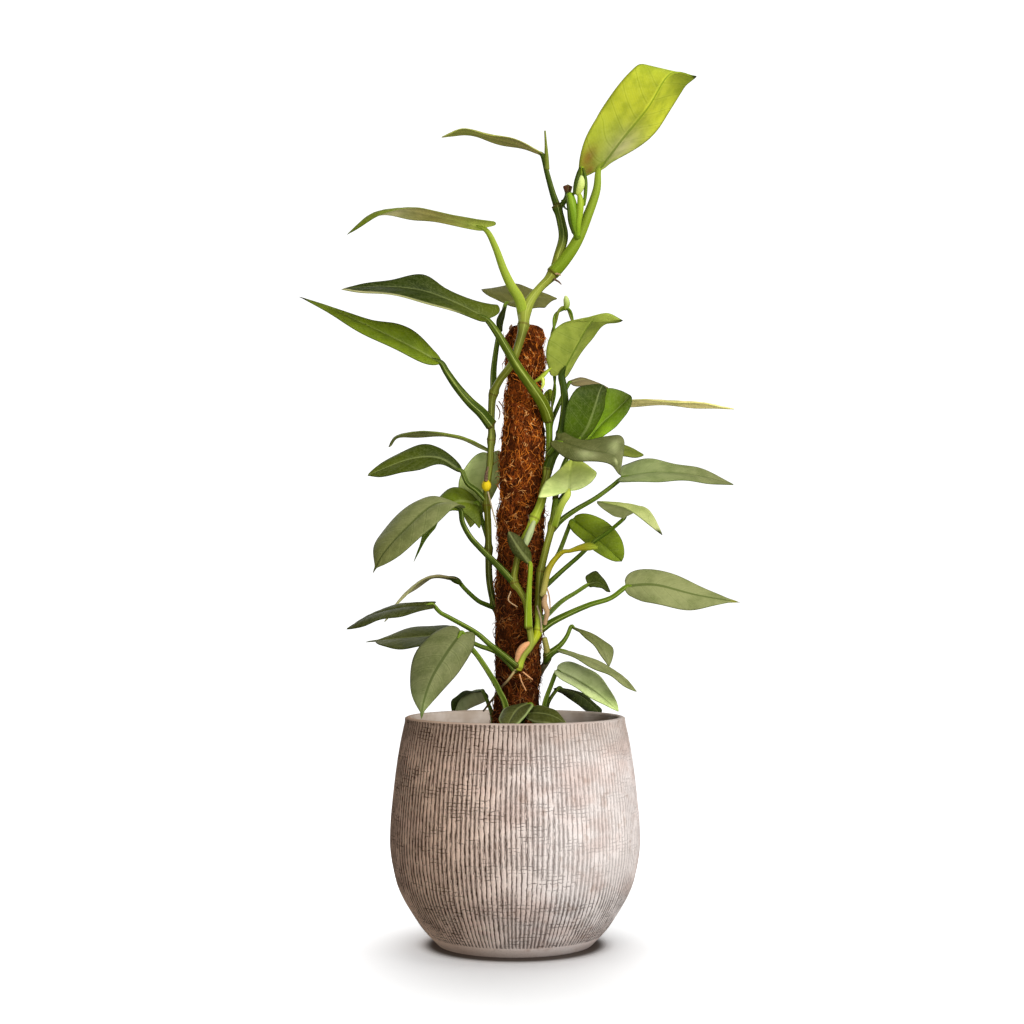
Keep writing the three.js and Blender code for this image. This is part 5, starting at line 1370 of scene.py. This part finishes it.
def stem_radius(nodes):
    """A ridge at each node with a narrow leaf scar just above it, and shallow ribs between."""
    def radius(t, turn, centre, plain):
        swelling = sum(NODE_SWELLING * bell(centre[2] - node, NODE_LENGTH) for node in nodes)
        ridge = sum(
            RIDGE_HEIGHT * bell(centre[2] - node - RIDGE_ABOVE, RIDGE_WIDTH)
            - SCAR_DEPTH * bell(centre[2] - node, SCAR_WIDTH) for node in nodes)
        ribs = sum(height * math.sin(turn * around + t * along)
                   for height, around, along in STEM_RIBS)
        return plain + swelling + ridge + ribs
    return radius


def stem_mark(nodes):
    return lambda t, centre: min(1, sum(
        MARK_STRENGTH * bell(centre[2] - node, MARK_WIDTH) for node in nodes))


def add_stem(shape, path, nodes, stops):
    # The tint's fourth value is the strength of the stem's painted highlight.
    def tint(t, centre):
        return (*blend_shades(centre[2], stops), STEM_HIGHLIGHT)

    add_rod(shape, path, STEM_SIDES, STEM_ROW, tint, 0, stem_radius(nodes), stem_mark(nodes),
            STEM_HIGHLIGHT_SIDE)


def run_tint(low, high):
    """The colour of a rod from one shade to another."""
    return lambda t, centre: mix(shade(low), shade(high), t)


def plain_tint(name):
    colour = shade(name)
    return lambda t, centre: colour


def build_stems():
    """The three climbing stems with their side shoots, roots and scars."""
    skins = [finish(living_stalk), finish(papery_sheath)]
    left = Shape()
    stops = STEM_STOPS["vine_left"]
    add_stem(left, VINE_LEFT, VINE_LEFT_NODES, stops)
    add_stem(left, STUB, [], stops)
    add_rod(left, KNOB, 12, 0.8, plain_tint("knob"))
    for skin, name, points in LEFT_TRIFLES:
        add_rod(left, points, TRIFLE_SIDES, TRIFLE_ROW, plain_tint(name), skin)
    left.piece("stem_left", skins, ["vine_left"], "stem")
    front = Shape()
    stops = STEM_STOPS["vine_front"]
    add_stem(front, VINE_FRONT, VINE_FRONT_NODES, stops)
    add_stem(front, VINE_FRONT_BRANCH, VINE_FRONT_BRANCH_NODES, STEM_STOPS["vine_front_branch"])
    root, root_end = shade("root_pale"), shade("dark_brown")
    add_rod(front, AERIAL_ROOT, 8, 1.5, lambda t, centre: mix(root, root_end, ease(t * 2)))
    for skin, name, points in FRONT_TRIFLES:
        add_rod(front, points, TRIFLE_SIDES, TRIFLE_ROW, plain_tint(name), skin)
    front.piece("stem_front", skins, ["vine_front"], "stem")
    low = Shape()
    add_stem(low, VINE_LOW, VINE_LOW_NODES, STEM_STOPS["vine_low"])
    low.piece("stem_low", skins, ["vine_low"], "stem")


# Leaves.
def rib_point(path, share):
    if 0 <= share <= 1:
        return path.at(share)
    end = 0.0 if share < 0 else 1.0
    inner = (0.0, 0.02) if share < 0 else (0.98, 1.0)
    along = (path.at(inner[1]) - path.at(inner[0])) / 0.02
    return path.at(end) + along * (share - end)


def width_by_shares(share, shares):
    """The half width by five shares: smooth from one to the next, and round at the base."""
    if share < PROFILE_AT[1]:
        return shares[0] * math.sqrt(max(share, 0) / PROFILE_AT[1])
    return max(smooth(share, list(zip(PROFILE_AT[1:], [*shares, 0]))), 0)


def half_width(share, half, tail):
    along = min(share / (1 - tail), 0.999)
    width = 0
    if isinstance(half["shape"], list):
        width = width_by_shares(along, half["shape"])
    elif along > 0:
        rise, widest = half["shape"], half["widest"]
        fall = rise * (1 - widest) / widest
        width = (along / widest) ** rise * ((1 - along) / (1 - widest)) ** fall
    if tail > 0 and share > 0.5:
        width = max(width, TAIL_HALF_WIDTH * (1 - share) / tail)
    return width


def turned(vector, axis, angle):
    return np.array(Matrix.Rotation(angle, 3, Vector(axis)) @ Vector(vector))


def blade_rows(leaf):
    """The blade's middle sheet as rows of points from base to tip, left edge to right edge, with
    each point's share along, share across and distance from the midrib."""
    path = Path(leaf["rib"])
    tail = leaf["tail"]
    twist = math.radians(leaf["twist"])
    length = path.length()
    count = max(FEWEST_ROWS, round(length / BLADE_ROW))
    wave_height = plant_sizes().edge_wave / MM * min(length / FULL_WAVE_LENGTH, 1)
    sheet, where = [], []
    for r in range(count + 1):
        even = r / count
        share = mix(even, 0.5 - 0.5 * math.cos(math.pi * even), ROWS_TO_ENDS)
        along = path.along(min(max(share, 0.02), 0.98))
        rib = rib_point(path, share)
        row, row_where = [], []
        for c in range(-BLADE_HALF_COLUMNS, BLADE_HALF_COLUMNS + 1):
            across = abs(c) / BLADE_HALF_COLUMNS
            sign = -1 if c < 0 else 1
            half = leaf["left"] if sign < 0 else leaf["right"]
            width = half_width(share, half, tail)
            swing = 0
            if share < LOBE_SHARE:
                swing = half["lobe"] * math.sin(math.pi * (share / LOBE_SHARE) ** LOBE_ROUND)
            edge_share = share + VEIN_SWEEP * math.sin(math.pi * share) - swing
            reach = turned(half["reach"], along, twist * (share - half["widest"]))
            edge = rib_point(path, edge_share) + reach * width
            up = np.cross(along, reach) * -sign
            up /= np.linalg.norm(up)
            phase = WAVES_PER_LEAF * share + leaf["phase"] + (RIGHT_PHASE if sign > 0 else 0)
            wave = wave_height * math.sin(2 * math.pi * phase) * min(width, 1) * across ** 2
            cup = BLADE_CUP * 4 * across * (1 - across) * width
            place = mix(rib, edge, across) + up * (cup + wave)
            row.append(place)
            row_where.append((share, sign * across, np.linalg.norm(place - rib)))
        sheet.append(row)
        where.append(row_where)
    return np.array(sheet), np.array(where)


def sheet_normals(sheet):
    over = np.gradient(sheet, axis=1)
    down = np.gradient(sheet, axis=0)
    normals = np.cross(over, down)
    sizes = np.linalg.norm(normals, axis=2, keepdims=True)
    normals /= np.maximum(sizes, 1e-9)
    normals[0], normals[-1] = normals[1], normals[-2]
    return normals


# Fades of a blade's colours, in shares of its length or width, and its margin in millimetres.
TIP_FADE = 0.05
MARGIN_FROM, MARGIN_FADE = 0.16, 0.1
MARGIN_WIDTH, MARGIN_SOFT = 2.6, 1.6
HALF_FADE = 0.12
SPOT_ALONG, SPOT_ACROSS, SPOT_STRENGTH = 60, 14, 0.8


def blade_colour(look, face, share, across, to_edge):
    """A blade's colour at a place: by its share of the length, with its own tip, margin and spots,
    and one half painted paler as light on a fold."""
    colour = blend_shades(share, look[face]) * look["tone"]
    if "tip" in look:
        colour = mix(colour, shade(look["tip"]), ease((share - look["tip_from"]) / TIP_FADE))
    if "margin" in look:
        side, name = look["margin"]
        inside = ease((share - MARGIN_FROM) / MARGIN_FADE) if side else 1
        near_edge = ease((MARGIN_WIDTH - to_edge) / MARGIN_SOFT)
        shown = near_edge * inside * (across * side >= 0)
        colour = mix(colour, shade(name), shown)
    # Painted light: one half is painted paler, as if its fold caught the light.
    if "half" in look:
        side, name = look["half"]
        colour = mix(colour, shade(name), ease(across * side / HALF_FADE))
    for at, side, size, name in look.get("spots", ()):
        away = math.hypot((share - at) * SPOT_ALONG, (across - side) * SPOT_ACROSS)
        colour = mix(colour, shade(name), SPOT_STRENGTH * bell(away, size))
    return colour


def add_blade(shape, leaf, look):
    """Both faces of a blade: fine relief between the side veins, a groove over the midrib and a
    raised rib under it, closed by a narrow rim."""
    sheet, where = blade_rows(leaf)
    normals = sheet_normals(sheet)
    rows, columns = sheet.shape[:2]
    middle_column = columns // 2
    edge_half = BLADE_THICKNESS / 2
    quilt = plant_sizes().blade_relief / MM
    index = {}
    for face, side in (("upper", 1), ("under", -1)):
        for r in range(rows):
            for c in range(columns):
                share, across, off_rib = where[r][c]
                ends = r in (0, rows - 1)
                if ends and c > 0:
                    index[face, r, c] = index[face, r, 0]
                    continue
                middle = sheet[r][middle_column] if ends else sheet[r][c]
                slant = VEIN_SLANT * abs(across) ** VEIN_CURVE
                phase = VEINS_PER_LEAF * (share - slant) + (RIGHT_VEINS if across > 0 else 0)
                puff = quilt * (abs(math.sin(math.pi * phase)) - QUILT_SINK)
                puff *= math.sin(math.pi * abs(across))
                rib_radius = mix(*RIB_RADII, share)
                if side > 0:
                    relief = edge_half + puff - RIB_GROOVE * bell(off_rib, rib_radius)
                else:
                    raised = RIB_HEIGHT * (1 - share) * bell(off_rib, rib_radius * RIB_NARROW)
                    relief = -edge_half + puff - raised
                to_edge = np.linalg.norm(sheet[r][0 if c < middle_column else -1] - sheet[r][c])
                colour = blade_colour(look, face, share, across, to_edge)
                index[face, r, c] = shape.point(
                    middle + normals[r][c] * relief, (*colour, to_edge),
                    (phase, off_rib * (1 if across > 0 else -1), share), look["rib"])
    for face, way in (("upper", 1), ("under", -1)):
        for r in range(rows - 1):
            for c in range(columns - 1):
                corners = ((r, c), (r, c + 1), (r + 1, c + 1), (r + 1, c))
                shape.face([index[face, *corner] for corner in corners][::way])
    for r in range(rows - 1):
        for c, a, b in ((0, r, r + 1), (columns - 1, r + 1, r)):
            shape.face([index["upper", a, c], index["upper", b, c], index["under", b, c],
                        index["under", a, c]])
    return normals[1][middle_column]


def stalk_path(leaf):
    base, top = leaf["radii"]
    end = Path(leaf["rib"]).at(STALK_ENDS_AT)
    points = [*leaf["stalk"], list(end)]
    last = len(points) - 2
    made = []
    for i, p in enumerate(points):
        radius = STALK_END_RADIUS
        if i <= last:
            radius = mix(top, base, (1 - i / last) ** leaf["taper"])
        made.append([*p, radius])
    return made


def add_stalk(shape, leaf, look, upper):
    """A stalk with a shallow channel on its upper side, winged where it clasps the stem."""
    path = stalk_path(leaf)
    first = Path(path).along(0)
    side = np.array(upper, float)
    if abs(side.dot(first)) > 0.95:
        side = np.array((0.0, -1.0, 0.0))
    low, high = shade(look["stalk"][0]), shade(look["stalk"][-1])

    def radius(t, turn, centre, plain):
        away = (turn + math.pi) % (2 * math.pi) - math.pi
        winged = WING_HEIGHT * max(0, 1 - t * WING_FALL)
        wings = winged * (bell(away - WING_AT, WING_SPREAD) + bell(away + WING_AT, WING_SPREAD))
        channel = (CHANNEL_DEPTH + winged) * bell(away, CHANNEL_SPREAD)
        return plain * (1 + wings - channel)

    # The tint's fourth value is the strength of the painted highlight on the wings.
    def tint(t, centre):
        return (*mix(low, high, t), WING_HIGHLIGHT * (1 - 0.5 * t))

    add_rod(shape, path, STALK_SIDES, STALK_ROW, tint, 1, radius,
            lambda t, centre: STALK_SCAR * bell(t, STALK_SCAR_LENGTH), side)


def build_leaf(name, leaf, phase):
    look = leaf["look"]
    shape = Shape()
    upper = add_blade(shape, {**leaf, "phase": phase}, look)
    add_stalk(shape, leaf, look, upper)
    if name in LEAF_TRIFLES:
        colour, points = LEAF_TRIFLES[name]
        add_rod(shape, points, 10, 1, plain_tint(colour), 1)
    skins = [finish(papery_sheath if leaf["finish"] == "dry" else waxy_leaf),
             finish(living_stalk)]
    shape.piece(name.replace("leaf_", "foliage_"), skins, [name], leaf["finish"])


def build_leaves():
    for i, (name, leaf) in enumerate(LEAVES.items()):
        build_leaf(name, leaf, (i * WAVE_PHASE_STEP) % 1)


WOUND_STEPS = 40
WOUND_TURNS = 3.2
STRAND_OFFSET, STRAND_RADIUS = 0.5, 0.55


def wound(points, start):
    """One strand of a twisted pair along points: start is where it begins round the middle."""
    curve = Path(points)
    made = []
    for i in range(WOUND_STEPS + 1):
        t = i / WOUND_STEPS
        x, y, z, radius = curve.at(t)
        across = np.cross(curve.along(t), (0.0, 1.0, 0.0))
        turn = 2 * math.pi * (start + WOUND_TURNS * t)
        out = across * math.cos(turn) + np.array((0, 1, 0)) * math.sin(turn)
        strand = np.array((x, y, z)) + out * radius * STRAND_OFFSET
        made.append([*strand, radius * STRAND_RADIUS])
    return made


def build_shoots():
    """New growth, the curled shoot and the withered sheaths."""
    tip, curled, sheath, bract = Shape(), Shape(), Shape(), Shape()
    for low, high, points in SHOOT_TIP:
        add_rod(tip, points, 14, 1.2, run_tint(low, high))
    add_rod(curled, wound(SHOOT_CURLED, 0), 10, 1.5, plain_tint("stalk_green"))
    add_rod(curled, wound(SHOOT_CURLED, 0.5), 10, 1.5, plain_tint("olive"))
    add_rod(curled, SHOOT_CURLED_BUD, 12, 0.8, run_tint("stalk_light", "bud"))
    add_rod(sheath, SHEATH_BROWN, 12, 1, plain_tint("brown"), 1)
    add_rod(bract, BRACT_YELLOW, 12, 1.5, lambda t, centre: blend_shades(t, BRACT_STOPS))
    skins = [finish(living_stalk), finish(papery_sheath)]
    for shape, name, node, slot in (
        (tip, "new_growth", "shoot_tip", "young"),
        (curled, "curled_shoot", "shoot_curled", "young"),
        (sheath, "withered_sheath", "sheath_brown", "dry"),
        (bract, "yellow_bract", "bract_yellow", "yellow"),
    ):
        shape.piece(name, skins, [node], slot)


# Stage.
CAMERA_AT = (-2.8, -1676, 318)
CAMERA_PITCH = 2.66
CAMERA_LENS = 63.5
WORLD_LIGHT = 0.24
# The paper's points from front to back: [y, z].
PAPER_PROFILE = [
    (-2600, 0), (0, 0), (1800, 0), (2300, 40), (2750, 190), (3100, 480), (3300, 900),
    (3400, 1600), (3400, 4200),
]
PAPER_SIDE = 5000
# Area lights: name, place, side, watts and the collection that each one reaches.
LIGHTS = [
    ("key", (1250, -1150, 1350), 1300, 54, "plant"),
    ("key_pot", (960, -1400, 900), 1300, 37, "potted"),
    ("plant_front", (-700, -1500, 900), 1800, 16, "plant"),
    ("plant_low", (300, -1300, -500), 1600, 16, "plant"),
    ("plant_back", (-700, 1200, 1300), 1200, 9, "plant"),
    ("overhead", (90, 330, 1400), 1200, 13, "stage"),
]
LIGHTS_AIM = (0, 0, 400)


def build_stage():
    """Paper floor that curves up behind, soft light from the upper right, and the camera."""
    shape = Shape()
    rows = [[shape.point((x, y, z), (1, 1, 1)) for x in (-PAPER_SIDE, PAPER_SIDE)]
            for y, z in PAPER_PROFILE]
    for near, far in zip(rows, rows[1:]):
        shape.face([near[0], near[1], far[1], far[0]])
    mesh = shape.plain("paper_floor", finish(studio_paper), smooth=True)
    paper = bpy.data.objects.new("paper_floor", mesh)
    home("stage").objects.link(paper)
    paper.visible_diffuse = False
    paper.visible_glossy = False
    paper.visible_shadow = False

    scene = bpy.context.scene
    world = bpy.data.worlds.new("studio")
    world.use_nodes = True
    background = world.node_tree.nodes["Background"]
    background.inputs["Color"].default_value = (1, 1, 1, 1)
    background.inputs["Strength"].default_value = WORLD_LIGHT
    scene.world = world
    scene.view_settings.view_transform = "Standard"

    potted = bpy.data.collections.new("potted")
    for part in ("pot", "soil"):
        potted.children.link(home(part))
    for name, at, size, power, reached in LIGHTS:
        light = bpy.data.lights.new(name, "AREA")
        light.size = size * MM
        light.energy = power
        lamp = bpy.data.objects.new(name, light)
        lamp.location = [c * MM for c in at]
        aim = Vector(LIGHTS_AIM) * MM - lamp.location
        lamp.rotation_euler = aim.to_track_quat("-Z", "Y").to_euler()
        lamp.light_linking.receiver_collection = potted if reached == "potted" else home(reached)
        if reached == "potted":
            lamp.light_linking.blocker_collection = potted
        scene.collection.objects.link(lamp)

    camera = bpy.data.objects.new("camera", bpy.data.cameras.new("camera"))
    camera.data.lens = CAMERA_LENS
    camera.data.sensor_width = 36
    camera.location = [c * MM for c in CAMERA_AT]
    camera.rotation_euler = (math.radians(90 + CAMERA_PITCH), 0, 0)
    scene.collection.objects.link(camera)
    scene.camera = camera


# Add-on.
def size_property(name, description, default):
    return bpy.props.FloatProperty(name=name, description=description, default=default * MM, min=0,
                                   precision=5, unit="LENGTH")


def colour_property(name, description, default):
    return bpy.props.FloatVectorProperty(
        name=name, description=description, default=linear(default), size=4, min=0, max=1,
        subtype="COLOR")


class PlantSizes(bpy.types.PropertyGroup):
    """Sizes and colours that a user would change."""
    groove_depth: size_property(
        "Combed grooves", "Depth of the grooves combed into the pot", GROOVE_RELIEF)
    blade_relief: size_property(
        "Blade relief", "Height of a blade between its side veins", QUILT_HEIGHT)
    edge_wave: size_property(
        "Blade edge wave", "How far the edge of a blade waves up and down", EDGE_WAVE)
    fibre_length: size_property("Fibre length", "Length of a loose coir fibre", FIBRE_LENGTH)
    fibre_thickness: size_property(
        "Fibre thickness", "Thickness of a loose coir fibre", FIBRE_THICKNESS)
    fibre_count: bpy.props.IntProperty(
        name="Loose fibres", description="How many loose fibres lie on the coir",
        default=FIBRES, min=0)
    # The first slip colour is painted shade for the pot's left side; the second is its right side.
    shaded_left_slip: colour_property(
        "Thin slip", "Colour of the pot where its slip lies thin", SHADED_LEFT_SLIP)
    right_side_slip: colour_property(
        "Thick slip", "Colour of the pot where its slip lies thick", RIGHT_SIDE_SLIP)
    clay: colour_property("Clay", "Colour of the bare clay in the grooves", BARE_CLAY)
    coir: colour_property("Coir", "Colour of the coir's strands", COIR_STRAND)
    fibre: colour_property("Fibres", "Colour of the brightest loose fibres", GOLDEN_FIBRE)
    soil: colour_property("Soil", "Colour of the damp soil", DAMP_SOIL)


def plant_sizes():
    return bpy.context.scene.plant_sizes


def need(*nodes):
    """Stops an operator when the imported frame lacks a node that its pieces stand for."""
    missing = [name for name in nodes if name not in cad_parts]
    if missing:
        raise RuntimeError("the packed frame has no " + ", ".join(missing))


class PLANT_OT_pot(bpy.types.Operator):
    """Builds the combed pot"""
    bl_idname = "plant.pot"
    bl_label = "Pot"

    def execute(self, context):
        need("pot")
        build_pot()
        return {"FINISHED"}


class PLANT_OT_soil(bpy.types.Operator):
    """Builds the soil in the pot"""
    bl_idname = "plant.soil"
    bl_label = "Soil"

    def execute(self, context):
        need("soil")
        build_soil()
        return {"FINISHED"}


class PLANT_OT_pole(bpy.types.Operator):
    """Builds the coir pole with its loose fibres and finishes the stake"""
    bl_idname = "plant.pole"
    bl_label = "Coir pole"

    def execute(self, context):
        need("pole_stake", "pole_coir")
        build_stake()
        build_coir()
        build_fibres()
        return {"FINISHED"}


class PLANT_OT_stems(bpy.types.Operator):
    """Builds the climbing stems"""
    bl_idname = "plant.stems"
    bl_label = "Stems"

    def execute(self, context):
        need("vine_left", "vine_front", "vine_low")
        build_stems()
        return {"FINISHED"}


class PLANT_OT_leaves(bpy.types.Operator):
    """Builds the leaves with their stalks"""
    bl_idname = "plant.leaves"
    bl_label = "Leaves"

    def execute(self, context):
        need(*LEAVES)
        build_leaves()
        return {"FINISHED"}


class PLANT_OT_shoots(bpy.types.Operator):
    """Builds the new growth and the withered sheaths"""
    bl_idname = "plant.shoots"
    bl_label = "Shoots and sheaths"

    def execute(self, context):
        need("shoot_tip", "shoot_curled", "sheath_brown", "bract_yellow")
        build_shoots()
        return {"FINISHED"}


class PLANT_OT_stage(bpy.types.Operator):
    """Builds the paper floor, the lights and the camera"""
    bl_idname = "plant.stage"
    bl_label = "Stage"

    def execute(self, context):
        build_stage()
        return {"FINISHED"}


OPERATORS = (PLANT_OT_pot, PLANT_OT_soil, PLANT_OT_pole, PLANT_OT_stems, PLANT_OT_leaves,
             PLANT_OT_shoots, PLANT_OT_stage)


class PLANT_PT_panel(bpy.types.Panel):
    """Lists the plant's sizes and steps"""
    bl_idname = "PLANT_PT_panel"
    bl_label = "Potted philodendron"
    bl_space_type = "VIEW_3D"
    bl_region_type = "UI"
    bl_category = "Plant"

    def draw(self, context):
        for key in PlantSizes.__annotations__:
            self.layout.prop(context.scene.plant_sizes, key)
        for operator in OPERATORS:
            self.layout.operator(operator.bl_idname)


CLASSES = (PlantSizes, *OPERATORS, PLANT_PT_panel)


def register():
    for item in CLASSES:
        bpy.utils.register_class(item)
    bpy.types.Scene.plant_sizes = bpy.props.PointerProperty(type=PlantSizes)


def unregister():
    del bpy.types.Scene.plant_sizes
    for item in reversed(CLASSES):
        bpy.utils.unregister_class(item)


def main():
    register()
    bpy.ops.plant.pot()
    bpy.ops.plant.soil()
    bpy.ops.plant.pole()
    bpy.ops.plant.stems()
    bpy.ops.plant.leaves()
    bpy.ops.plant.shoots()
    bpy.ops.plant.stage()


if __name__ == "__main__":
    main()
